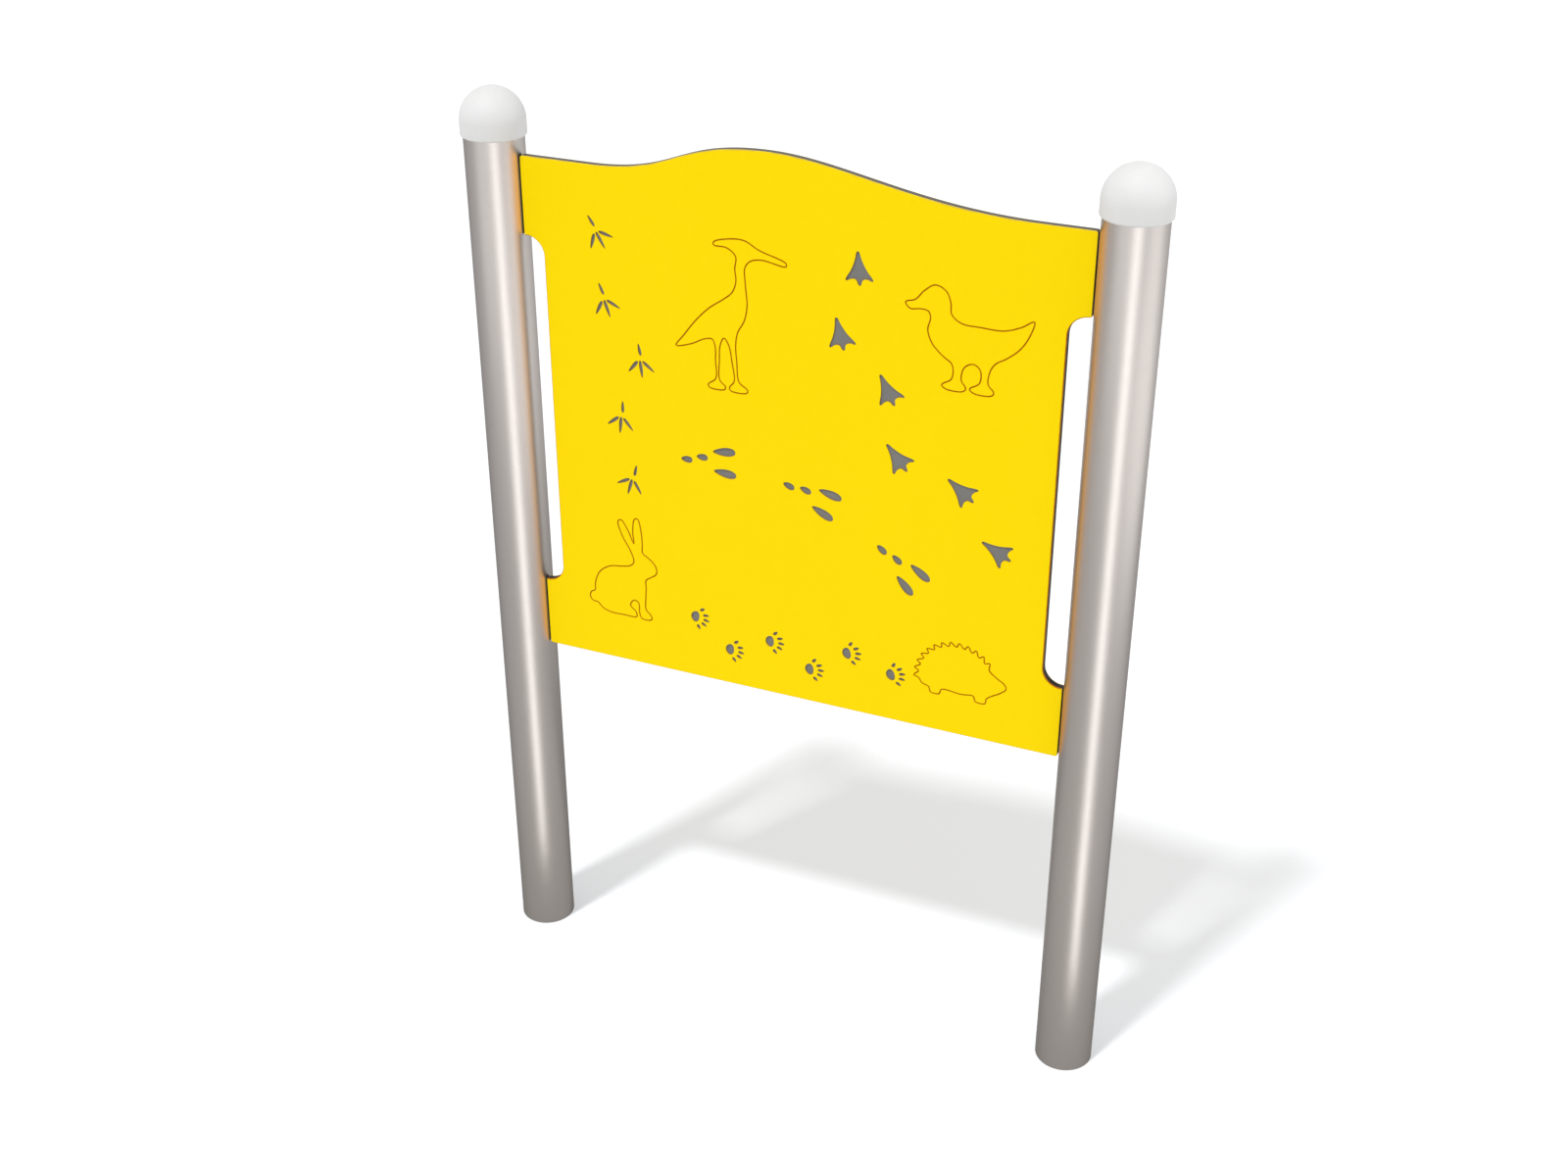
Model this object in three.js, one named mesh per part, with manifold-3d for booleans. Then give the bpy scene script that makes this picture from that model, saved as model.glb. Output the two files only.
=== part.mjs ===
// Park interpretation sign: a routed, wave-topped play panel hung between two capped steel posts.
// Lengths are in millimetres. +X runs along the panel, +Z is up and the front faces -Y.
// The origin lies on the ground, midway between the posts.

import * as THREE from "three";
import { mergeVertices } from "three/addons/utils/BufferGeometryUtils.js";
import Module from "manifold-3d";

const wasm = await Module();
wasm.setup();

// Clearances shared by all the pieces
const seatGap = 0.3;
const cutOverrun = 5;

// Posts: round steel tube, closed at the foot by a disc with an anchor hole
const postSpacing = 1073;
const postRadius = 50.8;
const postWall = 2;
const postAbovePanel = 46.5;
const postSides = 40;
const footThickness = 6;
const anchorHoleRadius = 9;
const anchorHoleSides = 16;

// Caps: moulded domes that slip over the tube ends and rest on their inner ribs
const capWall = 3.9;
const capOverlap = 20;
const capStopDrop = 4.6;
const capRimRound = 3.5;
const capRibPlates = 4;
const capRibThickness = 2.5;
const capRibHeight = 16;
const capRibReach = 8;
const capDomeSteps = 7;
const capRimSteps = 2;
const capHollowSteps = 5;

// Panel: a grey core between two yellow skins, set a little forward of the posts' centre plane
const panelForward = 11;
const coreThickness = 11;
const skinThickness = 2;
const panelSideGap = 1.5;
const panelBottom = 638;
const panelHeight = 917.5;
const panelCornerRound = 4;
const crestOffset = -47;
const crestRise = 56.5;
const crestLeftRun = 313;
const crestRightRun = 447;
const crestLeftHandleShare = 0.51;
const crestRightHandleShare = 0.28;
const shoulderRightHandleShare = 0.457;
const crestSteps = 20;

// Handholds: tall notches in the panel's sides, open towards the posts
const notchDepth = 35;
const notchMouthRound = 2;
const notchRise = 134;
const notchDrop = 134.5;
const notchRoundSteps = 8;
const cornerSteps = 3;

// Brackets: pressed saddles bolted to the posts, each with a flange behind the panel
const bracketThickness = 4;
const bracketHeight = 64;
const bracketReach = 46;
const bracketBendRadius = 6;
const bracketEndAngle = THREE.MathUtils.degToRad(78);
const bracketCornerRound = 10;
const bracketArcSteps = 8;
const bracketBendSteps = 3;
const bracketRiseLower = 62;
const bracketDropUpper = 77;
const boltPitch = 34;
const panelBoltInset = 26;
const postBoltAngle = THREE.MathUtils.degToRad(48);

// Fasteners: flanged button-head bolts, moulded-in panel inserts and blind nuts in the tube
const boltRadius = 4;
const boltHeadRadius = 8.75;
const boltHeadHeight = 4.4;
const boltFlangeThickness = 1.2;
const boltDomeRadiusShares = [0.76, 0.4];
const boltDomeHeightShares = [0.75, 1];
const boltEndInset = 1;
const boltHoleClearance = 0.5;
const insertRadius = 6;
const insertBottomGap = 0.5;
const insertHoleCover = 2.5;
const blindNutRadius = 5.5;
const blindNutLength = 13;
const blindNutBulgeRadius = 7.5;
const blindNutBulgeLength = 3;
const fastenerSides = 10;

// Routed tracks: pockets through the front skin that bare the grey core.
// Each trail runs from a start to an end, bowed to one side, with a print on alternate sides of it.
// Places are shares of the panel's full width, from its middle, and of its height, from its foot.
const trails = [
  {
    print: "long_toed",
    count: 5,
    printLength: 60,
    stepAside: 20,
    startShare: [-0.38, 0.87],
    endShare: [-0.33, 0.41],
    bowShare: 0.22,
  },
  {
    print: "webbed",
    count: 6,
    printLength: 54,
    stepAside: 24,
    startShare: [0.09, 0.88],
    endShare: [0.38, 0.42],
    bowShare: -0.28,
  },
  {
    print: "bounding",
    count: 3,
    printLength: 104,
    stepAside: 0,
    startShare: [-0.16, 0.47],
    endShare: [0.2, 0.33],
    bowShare: 0.2,
  },
  {
    print: "clawed",
    count: 6,
    printLength: 44,
    stepAside: 20,
    startShare: [-0.19, 0.11],
    endShare: [0.19, 0.12],
    bowShare: -0.12,
  },
];

// Each mark of a print: how far ahead and aside its centre lies, its length and width,
// the way it points, in degrees, and how much fuller its rear end is, all but the last two
// as shares of the print's length
const printMarkShares = {
  long_toed: [
    [0.3, 0, 0.52, 0.1, 0, 0.35],
    [0.22, 0.24, 0.46, 0.1, 46, 0.35],
    [0.22, -0.24, 0.46, 0.1, -46, 0.35],
    [-0.28, 0.03, 0.36, 0.09, 184, 0.35],
  ],
  bounding: [
    [0.3, 0.19, 0.4, 0.15, 6, -0.3],
    [0.3, -0.19, 0.4, 0.15, -6, -0.3],
    [-0.1, 0.04, 0.2, 0.12, 0, -0.2],
    [-0.38, -0.04, 0.2, 0.12, 0, -0.2],
  ],
  clawed: [
    [-0.14, 0, 0.36, 0.5, 0, -0.15],
    [0.1, 0.42, 0.24, 0.13, 48, 0.25],
    [0.3, 0.22, 0.26, 0.13, 20, 0.25],
    [0.36, 0, 0.27, 0.13, 0, 0.25],
    [0.3, -0.22, 0.26, 0.13, -20, 0.25],
    [0.1, -0.42, 0.24, 0.13, -48, 0.25],
  ],
};
const markSteps = 10;

// Half of a webbed print, from its heel to its middle toe, as shares of the print's length:
// ahead, then aside. Its other half mirrors it.
const webbedHalfShares = [
  [-0.5, 0],
  [-0.47, 0.05],
  [-0.24, 0.1],
  [0.08, 0.24],
  [0.34, 0.44],
  [0.42, 0.42],
  [0.33, 0.24],
  [0.36, 0.09],
  [0.52, 0.05],
  [0.55, 0],
];

// Sizes that follow from the ones above
const postX = postSpacing / 2;
const postInnerRadius = postRadius - postWall;
const postHeight = panelBottom + panelHeight + postAbovePanel;
const capRadius = postRadius + seatGap + capWall;
const capCentreRise = capOverlap + capStopDrop;
const notchRound = notchDepth - notchMouthRound;
const panelHalfWidth = postX - postRadius - panelSideGap;
const panelFrontY = -panelForward;
const coreFrontY = panelFrontY + skinThickness;
const coreRearY = coreFrontY + coreThickness;
const panelRearY = coreRearY + skinThickness;
const bracketInnerRadius = postRadius + seatGap;
const bracketOuterRadius = bracketInnerRadius + bracketThickness;
const flangeFrontY = panelRearY + seatGap;
const flangeRearY = flangeFrontY + bracketThickness;
const panelBoltX = postRadius + panelSideGap + panelBoltInset;
const boltHoleRadius = boltRadius + boltHoleClearance;
const insertHoleRadius = insertRadius + seatGap;
const insertHoleDepth = skinThickness + coreThickness - insertHoleCover;
const insertLength = insertHoleDepth - insertBottomGap;
const panelBoltLength = seatGap + bracketThickness + seatGap + insertLength - boltEndInset;
const blindNutHoleRadius = blindNutRadius + seatGap;
const blindNutMouthRadius = Math.sqrt(postRadius ** 2 - blindNutRadius ** 2);
const postBoltSeat = bracketOuterRadius + seatGap;
const postBoltLength = postBoltSeat - blindNutMouthRadius + blindNutLength - boltEndInset;
const bracketRises = {
  upper: panelBottom + panelHeight - bracketDropUpper,
  lower: panelBottom + bracketRiseLower,
};
const boltRises = [-boltPitch / 2, boltPitch / 2];

const steel = new THREE.MeshStandardMaterial({ color: 0xb9b5b0, roughness: 0.35, metalness: 1 });
const zincSteel = new THREE.MeshStandardMaterial({ color: 0xa9acae, roughness: 0.45, metalness: 1 });
const yellowSheet = new THREE.MeshStandardMaterial({ color: 0xffdd02, roughness: 0.5, metalness: 0 });
const greySheet = new THREE.MeshStandardMaterial({ color: 0x7c7b78, roughness: 0.6, metalness: 0 });
const whiteMoulding = new THREE.MeshStandardMaterial({ color: 0xececec, roughness: 0.45, metalness: 0 });
const brass = new THREE.MeshStandardMaterial({ color: 0xc8a65a, roughness: 0.4, metalness: 1 });

// Joining and cutting closed shapes

function toSolid(geometry) {
  const bare = geometry.clone();
  bare.deleteAttribute("normal");
  bare.deleteAttribute("uv");
  const merged = mergeVertices(bare);
  const corners = Array.from(merged.index.array);
  const kept = [];
  for (let i = 0; i < corners.length; i += 3) {
    const [a, b, c] = corners.slice(i, i + 3);
    if (a !== b && b !== c && c !== a) {
      kept.push(a, b, c);
    }
  }
  return new wasm.Manifold(new wasm.Mesh({
    numProp: 3,
    vertProperties: new Float32Array(merged.attributes.position.array),
    triVerts: new Uint32Array(kept),
  }));
}

function toGeometry(solid) {
  const mesh = solid.getMesh();
  const geometry = new THREE.BufferGeometry();
  geometry.setAttribute("position", new THREE.BufferAttribute(mesh.vertProperties, mesh.numProp));
  geometry.setIndex(new THREE.BufferAttribute(mesh.triVerts, 1));
  geometry.computeVertexNormals();
  return geometry;
}

function piece(name, geometry, material) {
  const mesh = new THREE.Mesh(geometry, material);
  mesh.name = name;
  return mesh;
}

// A bar of round section from one radius out along an axis that points at an angle in the XY plane
function radialBar(radius, from, to, angle, rise) {
  const bar = new THREE.CylinderGeometry(radius, radius, to - from, fastenerSides);
  bar.rotateZ(-Math.PI / 2);
  bar.translate((from + to) / 2, 0, 0);
  bar.rotateZ(angle);
  bar.translate(0, 0, rise);
  return toSolid(bar);
}

// A bar of round section along Y
function crossBar(radius, fromY, toY, x, z) {
  const bar = new THREE.CylinderGeometry(radius, radius, toY - fromY, fastenerSides);
  bar.translate(x, (fromY + toY) / 2, z);
  return toSolid(bar);
}

// Points on a circle's arc, from one angle to another
function arcPoints(centreX, centreY, radius, fromAngle, toAngle, steps) {
  return Array.from({ length: steps + 1 }, (_, i) => {
    const angle = THREE.MathUtils.lerp(fromAngle, toAngle, i / steps);
    return new THREE.Vector2(centreX + radius * Math.cos(angle), centreY + radius * Math.sin(angle));
  });
}

// Posts, feet and caps

// The tube's four holes for the blind nuts lie behind the panel, on the inner side
function postGeometry() {
  const profile = [
    new THREE.Vector2(postInnerRadius, 0),
    new THREE.Vector2(postRadius, 0),
    new THREE.Vector2(postRadius, postHeight),
    new THREE.Vector2(postInnerRadius, postHeight),
    new THREE.Vector2(postInnerRadius, 0),
  ];
  const tube = new THREE.LatheGeometry(profile, postSides);
  tube.rotateX(Math.PI / 2);
  let solid = toSolid(tube);
  for (const bracketRise of Object.values(bracketRises)) {
    for (const boltRise of boltRises) {
      const rise = bracketRise + boltRise;
      const reach = postRadius + cutOverrun;
      solid = solid.subtract(radialBar(blindNutHoleRadius, 0, reach, postBoltAngle, rise));
    }
  }
  return toGeometry(solid);
}

function footGeometry() {
  const disc = new THREE.Shape();
  disc.setFromPoints(arcPoints(0, 0, postInnerRadius - seatGap, 0, 2 * Math.PI, postSides).slice(1));
  const hole = new THREE.Path();
  hole.setFromPoints(arcPoints(0, 0, anchorHoleRadius, 0, 2 * Math.PI, anchorHoleSides).slice(1));
  disc.holes.push(hole);
  return new THREE.ExtrudeGeometry(disc, { depth: footThickness, bevelEnabled: false });
}

// The dome's own zero height is its rim; the tube's end meets the ribs one overlap above it
function capGeometry() {
  const rim = arcPoints(capRadius - capRimRound, capRimRound, capRimRound, -Math.PI / 2, 0, capRimSteps);
  const dome = arcPoints(0, capCentreRise, capRadius, 0, Math.PI / 2, capDomeSteps);
  const outer = new THREE.LatheGeometry([new THREE.Vector2(0, 0), ...rim, ...dome], postSides);

  const hollowRadius = postRadius + seatGap;
  const ceilingRadius = Math.hypot(hollowRadius, capStopDrop);
  const startAngle = -Math.asin(capStopDrop / ceilingRadius);
  const ceiling = arcPoints(0, capCentreRise, ceilingRadius, startAngle, Math.PI / 2, capHollowSteps);
  const mouth = [new THREE.Vector2(0, -cutOverrun), new THREE.Vector2(hollowRadius, -cutOverrun)];
  const hollow = new THREE.LatheGeometry([...mouth, ...ceiling], postSides);

  outer.rotateX(Math.PI / 2);
  hollow.rotateX(Math.PI / 2);
  const outerSolid = toSolid(outer);
  const coreRadius = postRadius - capRibReach;
  const core = new THREE.CylinderGeometry(coreRadius, coreRadius, 2 * capRadius, postSides);
  core.rotateX(Math.PI / 2);
  core.translate(0, 0, capOverlap);
  const coreSolid = toSolid(core);

  let cap = outerSolid.subtract(toSolid(hollow));
  for (let i = 0; i < capRibPlates; i += 1) {
    const plate = new THREE.BoxGeometry(2 * capRadius, capRibThickness, capRibHeight);
    plate.translate(0, 0, capOverlap + capRibHeight / 2);
    plate.rotateZ(((i + 1 / 2) * Math.PI) / capRibPlates);
    cap = cap.add(toSolid(plate).intersect(outerSolid).subtract(coreSolid));
  }
  return toGeometry(cap);
}

// The panel's outline, seen from the front, with its zero height at the bottom edge

// The right side, from the foot up: the foot corner, the notch with its mouths, and the shoulder corner
function panelSidePoints() {
  const half = panelHalfWidth;
  const round = panelCornerRound;
  const mouthRound = notchMouthRound;
  const notchTop = panelHeight - notchDrop;
  const innerX = half - notchDepth + notchRound;
  const quarter = Math.PI / 2;
  return [
    ...arcPoints(half - round, round, round, -quarter, 0, cornerSteps),
    ...arcPoints(half - mouthRound, notchRise - mouthRound, mouthRound, 0, quarter, cornerSteps),
    ...arcPoints(innerX, notchRise + notchRound, notchRound, -quarter, -2 * quarter, notchRoundSteps).slice(1),
    ...arcPoints(innerX, notchTop - notchRound, notchRound, 2 * quarter, quarter, notchRoundSteps),
    ...arcPoints(half - mouthRound, notchTop + mouthRound, mouthRound, -quarter, 0, cornerSteps).slice(1),
    ...arcPoints(half - round, panelHeight - round, round, 0, quarter, cornerSteps),
  ];
}

// The wave along the top, from its right-hand end to its left-hand end
function crestPoints() {
  const top = panelHeight + crestRise;
  const rightEnd = crestOffset + crestRightRun;
  const leftEnd = crestOffset - crestLeftRun;
  const rightSlope = new THREE.CubicBezierCurve(
    new THREE.Vector2(rightEnd, panelHeight),
    new THREE.Vector2(rightEnd - shoulderRightHandleShare * crestRightRun, panelHeight),
    new THREE.Vector2(crestOffset + crestRightHandleShare * crestRightRun, top),
    new THREE.Vector2(crestOffset, top),
  );
  const leftSlope = new THREE.CubicBezierCurve(
    new THREE.Vector2(crestOffset, top),
    new THREE.Vector2(crestOffset - crestLeftHandleShare * crestLeftRun, top),
    new THREE.Vector2(leftEnd + crestLeftHandleShare * crestLeftRun, panelHeight),
    new THREE.Vector2(leftEnd, panelHeight),
  );
  return [...rightSlope.getPoints(crestSteps), ...leftSlope.getPoints(crestSteps).slice(1)];
}

function panelOutline() {
  const right = panelSidePoints();
  const left = right.map((point) => new THREE.Vector2(-point.x, point.y)).reverse();
  return new THREE.Shape([...right, ...crestPoints(), ...left]);
}

// Tracks: closed outlines in a print's own frame, where +X points ahead and +Y to its left

// An oval that is fuller at one end
function markPoints(length, [ahead, aside, longShare, wideShare, turn, fullness]) {
  const points = [];
  for (let i = 0; i < markSteps; i += 1) {
    const angle = (2 * Math.PI * i) / markSteps;
    const along = (longShare * length * Math.cos(angle)) / 2;
    const across = (wideShare * length * Math.sin(angle) * (1 - fullness * Math.cos(angle))) / 2;
    const point = new THREE.Vector2(along, across);
    point.rotateAround(new THREE.Vector2(), THREE.MathUtils.degToRad(turn));
    points.push(point.add(new THREE.Vector2(ahead * length, aside * length)));
  }
  return points;
}

function webbedPoints(length) {
  const half = webbedHalfShares.map(([ahead, aside]) => new THREE.Vector2(ahead * length, aside * length));
  const mirrored = half.slice(1, -1).map((point) => new THREE.Vector2(point.x, -point.y)).reverse();
  return [...half, ...mirrored];
}

function printOutlines(trail) {
  if (trail.print === "webbed") {
    return [webbedPoints(trail.printLength)];
  }
  return printMarkShares[trail.print].map((mark) => markPoints(trail.printLength, mark));
}

function trailPockets(trail) {
  const place = ([x, y]) => new THREE.Vector2(2 * x * panelHalfWidth, y * panelHeight);
  const start = place(trail.startShare);
  const end = place(trail.endShare);
  const run = end.clone().sub(start);
  const bow = new THREE.Vector2(-run.y, run.x).multiplyScalar(trail.bowShare);
  const middle = start.clone().add(end).divideScalar(2).add(bow);
  const path = new THREE.QuadraticBezierCurve(start, middle, end);
  const pockets = [];
  for (let i = 0; i < trail.count; i += 1) {
    const share = i / (trail.count - 1);
    const ahead = path.getTangentAt(share);
    const side = i % 2 === 0 ? trail.stepAside : -trail.stepAside;
    const centre = path.getPointAt(share).add(new THREE.Vector2(-ahead.y, ahead.x).multiplyScalar(side));
    for (const outline of printOutlines(trail)) {
      const turned = outline.map((point) => point.clone().rotateAround(new THREE.Vector2(), ahead.angle()));
      pockets.push(new THREE.Path(turned.map((point) => point.add(centre))));
    }
  }
  return pockets;
}

// The panel's layers

// Extrudes a front-view outline from one Y to another, further back
function layerGeometry(outline, frontY, rearY) {
  const layer = new THREE.ExtrudeGeometry(outline, { depth: rearY - frontY, bevelEnabled: false });
  layer.rotateX(Math.PI / 2);
  layer.translate(0, rearY, panelBottom);
  return layer;
}

function frontSkinGeometry() {
  const outline = panelOutline();
  outline.holes = trails.flatMap((trail) => trailPockets(trail));
  return layerGeometry(outline, panelFrontY, coreFrontY);
}

function cutInsertHoles(layer) {
  let solid = toSolid(layer);
  for (const x of [-postX + panelBoltX, postX - panelBoltX]) {
    for (const bracketRise of Object.values(bracketRises)) {
      for (const boltRise of boltRises) {
        const fromY = panelRearY - insertHoleDepth;
        const toY = panelRearY + cutOverrun;
        solid = solid.subtract(crossBar(insertHoleRadius, fromY, toY, x, bracketRise + boltRise));
      }
    }
  }
  return toGeometry(solid);
}

// Brackets and their fasteners, about the post's axis, with +X towards the panel

function bracketGeometry() {
  const inner = bracketInnerRadius;
  const outer = bracketOuterRadius;
  const tipX = postRadius + bracketReach;
  const startAngle = Math.asin(flangeFrontY / inner);
  const bendY = flangeRearY + bracketBendRadius;
  const bendX = Math.sqrt((outer + bracketBendRadius) ** 2 - bendY ** 2);
  const bendAngle = Math.atan2(bendY, bendX);
  const profile = new THREE.Shape([
    new THREE.Vector2(tipX, flangeFrontY),
    ...arcPoints(0, 0, inner, startAngle, bracketEndAngle, bracketArcSteps),
    ...arcPoints(0, 0, outer, bracketEndAngle, bendAngle, bracketArcSteps),
    ...arcPoints(
      bendX,
      bendY,
      bracketBendRadius,
      Math.PI + bendAngle,
      1.5 * Math.PI,
      bracketBendSteps,
    ).slice(1),
    new THREE.Vector2(tipX, flangeRearY),
  ]);
  const pressed = new THREE.ExtrudeGeometry(profile, { depth: bracketHeight, bevelEnabled: false });
  pressed.translate(0, 0, -bracketHeight / 2);
  let solid = toSolid(pressed).intersect(bracketBlank(tipX));
  for (const rise of boltRises) {
    const farY = flangeRearY + cutOverrun;
    solid = solid.subtract(crossBar(boltHoleRadius, panelRearY, farY, panelBoltX, rise));
    const farRadius = outer + cutOverrun;
    solid = solid.subtract(radialBar(boltHoleRadius, 0, farRadius, postBoltAngle, rise));
  }
  return toGeometry(solid);
}

// The bracket's front view: a plate with its two free corners rounded
function bracketBlank(tipX) {
  const round = bracketCornerRound;
  const top = bracketHeight / 2;
  const blank = new THREE.Shape([
    ...arcPoints(tipX - round, round - top, round, -Math.PI / 2, 0, cornerSteps),
    ...arcPoints(tipX - round, top - round, round, 0, Math.PI / 2, cornerSteps),
    new THREE.Vector2(0, top),
    new THREE.Vector2(0, -top),
  ]);
  const reach = bracketOuterRadius + cutOverrun;
  const plate = new THREE.ExtrudeGeometry(blank, { depth: reach, bevelEnabled: false });
  plate.rotateX(Math.PI / 2);
  plate.translate(0, reach, 0);
  return toSolid(plate);
}

// A bolt along Y: its head's underside is at zero and its shank runs towards -Y
function boltGeometry(length) {
  const dome = boltDomeRadiusShares.map((share, i) => new THREE.Vector2(
    share * boltHeadRadius,
    boltDomeHeightShares[i] * boltHeadHeight,
  ));
  const profile = [
    new THREE.Vector2(0, -length),
    new THREE.Vector2(boltRadius, -length),
    new THREE.Vector2(boltRadius, 0),
    new THREE.Vector2(boltHeadRadius, 0),
    new THREE.Vector2(boltHeadRadius, boltFlangeThickness),
    ...dome,
    new THREE.Vector2(0, boltHeadHeight),
  ];
  return new THREE.LatheGeometry(profile, fastenerSides);
}

// A sleeve along Y from zero towards -Y, around a bolt's shank
function insertGeometry() {
  const bore = boltRadius + seatGap;
  const profile = [
    new THREE.Vector2(bore, -insertLength),
    new THREE.Vector2(insertRadius, -insertLength),
    new THREE.Vector2(insertRadius, 0),
    new THREE.Vector2(bore, 0),
    new THREE.Vector2(bore, -insertLength),
  ];
  return new THREE.LatheGeometry(profile, fastenerSides);
}

// A blind nut along Y: its mouth is at zero, flush with the tube, and its bulge grips the wall inside
function blindNutGeometry() {
  const bore = boltRadius + seatGap;
  const bulgeSeat = Math.sqrt(postInnerRadius ** 2 - blindNutBulgeRadius ** 2) - seatGap;
  const bulgeTop = bulgeSeat - blindNutMouthRadius;
  const bulgeEnd = bulgeTop - blindNutBulgeLength;
  const profile = [
    new THREE.Vector2(bore, -blindNutLength),
    new THREE.Vector2(blindNutRadius, -blindNutLength),
    new THREE.Vector2(blindNutRadius, bulgeEnd),
    new THREE.Vector2(blindNutBulgeRadius, bulgeEnd),
    new THREE.Vector2(blindNutBulgeRadius, bulgeTop),
    new THREE.Vector2(blindNutRadius, bulgeTop),
    new THREE.Vector2(blindNutRadius, 0),
    new THREE.Vector2(bore, 0),
    new THREE.Vector2(bore, -blindNutLength),
  ];
  return new THREE.LatheGeometry(profile, fastenerSides);
}

// Sets a piece that runs along Y at a radius from the post's axis, pointing out at the post bolts' angle
function placeRadially(mesh, radius, rise) {
  mesh.rotation.z = postBoltAngle - Math.PI / 2;
  mesh.position.set(radius * Math.cos(postBoltAngle), radius * Math.sin(postBoltAngle), rise);
  return mesh;
}

function placeBehindPanel(mesh, y, rise) {
  mesh.position.set(panelBoltX, y, rise);
  return mesh;
}

// Assembly

function corner(label) {
  const group = new THREE.Group();
  group.add(piece(`bracket_${label}`, bracketGeometry(), zincSteel));
  boltRises.forEach((rise, i) => {
    const tag = `${label}_${i + 1}`;
    const panelBolt = piece(`panel_bolt_${tag}`, boltGeometry(panelBoltLength), zincSteel);
    const insert = piece(`panel_insert_${tag}`, insertGeometry(), brass);
    const postBolt = piece(`post_bolt_${tag}`, boltGeometry(postBoltLength), zincSteel);
    const blindNut = piece(`blind_nut_${tag}`, blindNutGeometry(), zincSteel);
    group.add(placeBehindPanel(panelBolt, flangeRearY + seatGap, rise));
    group.add(placeBehindPanel(insert, panelRearY, rise));
    group.add(placeRadially(postBolt, postBoltSeat, rise));
    group.add(placeRadially(blindNut, blindNutMouthRadius, rise));
  });
  return group;
}

// The right-hand side is the left-hand one turned half round about Y, then each piece keeps its own height
function side(label, isRight) {
  const group = new THREE.Group();
  group.position.x = isRight ? postX : -postX;
  const post = piece(`post_${label}`, postGeometry(), steel);
  post.rotation.z = isRight ? Math.PI - 2 * postBoltAngle : 0;
  const foot = piece(`foot_plate_${label}`, footGeometry(), zincSteel);
  const cap = piece(`cap_${label}`, capGeometry(), whiteMoulding);
  cap.position.z = postHeight - capOverlap;
  group.add(post, foot, cap);
  for (const [level, rise] of Object.entries(bracketRises)) {
    const fixing = corner(`${level}_${label}`);
    fixing.rotation.y = isRight ? Math.PI : 0;
    fixing.position.z = rise;
    group.add(fixing);
  }
  return group;
}

function panel() {
  const group = new THREE.Group();
  const core = cutInsertHoles(layerGeometry(panelOutline(), coreFrontY, coreRearY));
  const rearSkin = cutInsertHoles(layerGeometry(panelOutline(), coreRearY, panelRearY));
  group.add(piece("panel_front_skin", frontSkinGeometry(), yellowSheet));
  group.add(piece("panel_core", core, greySheet));
  group.add(piece("panel_rear_skin", rearSkin, yellowSheet));
  return group;
}

const sign = new THREE.Group();
sign.add(side("left", false), side("right", true), panel());

export default sign;
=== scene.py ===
# %% [markdown]
# # A park interpretation sign
#
# The sign stands in a park for children to find and follow: a yellow sheet, routed with animal
# tracks and animal outlines, hangs between two round steel posts with white domed caps. The packed
# model is the frame, and it gives every place and size. This lesson dresses it. Each step says
# what the piece or the finish is on the real sign, how it could be made, and why it is made this
# way here. Lengths are in metres, with +Z up and the sign's front towards -Y.

# %% Load the frame
import math
from collections import namedtuple

import bpy
import numpy as np
from mathutils import Matrix, Vector
from mathutils.geometry import delaunay_2d_cdt


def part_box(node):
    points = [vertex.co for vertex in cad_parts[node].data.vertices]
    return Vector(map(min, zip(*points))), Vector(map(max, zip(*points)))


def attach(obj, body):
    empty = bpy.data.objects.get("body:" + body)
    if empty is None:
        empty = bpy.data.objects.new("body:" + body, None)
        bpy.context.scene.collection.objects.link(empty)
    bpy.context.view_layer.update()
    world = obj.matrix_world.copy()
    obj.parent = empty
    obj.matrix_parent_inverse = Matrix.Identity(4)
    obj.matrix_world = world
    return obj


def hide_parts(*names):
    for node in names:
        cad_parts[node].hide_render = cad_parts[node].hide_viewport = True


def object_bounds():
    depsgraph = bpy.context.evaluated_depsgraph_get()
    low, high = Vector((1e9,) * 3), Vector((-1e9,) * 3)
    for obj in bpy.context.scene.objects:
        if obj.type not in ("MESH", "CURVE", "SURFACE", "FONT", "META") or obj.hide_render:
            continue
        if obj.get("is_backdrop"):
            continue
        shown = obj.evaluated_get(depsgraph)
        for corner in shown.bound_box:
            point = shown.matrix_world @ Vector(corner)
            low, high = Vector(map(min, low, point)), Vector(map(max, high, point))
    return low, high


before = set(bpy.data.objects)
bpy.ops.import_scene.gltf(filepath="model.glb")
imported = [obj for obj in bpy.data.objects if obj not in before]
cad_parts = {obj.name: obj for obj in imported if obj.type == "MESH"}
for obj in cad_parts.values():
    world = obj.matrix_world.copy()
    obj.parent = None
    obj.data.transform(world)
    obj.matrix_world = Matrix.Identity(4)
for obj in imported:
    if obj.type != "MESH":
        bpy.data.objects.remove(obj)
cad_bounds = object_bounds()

mm = 0.001
quarter_turn = math.pi / 2
full_turn = 2 * math.pi
sides = {"left": -1, "right": 1}
print("nodes in the frame:", len(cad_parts))

# %% [markdown]
# ## Measure the frame
#
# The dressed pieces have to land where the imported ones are. Sizes typed in again would go stale
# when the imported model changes, so they are read from the boxes of the frame's own nodes, and a
# length is written down only where no box gives it. The left-hand post stands for both.

# %% Read the posts, the caps and the sheet
post_low, post_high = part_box("post_left")
cap_low, cap_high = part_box("cap_left")
front_low, front_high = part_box("panel_front_skin")
core_low, core_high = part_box("panel_core")
_, rear_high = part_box("panel_rear_skin")

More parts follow.
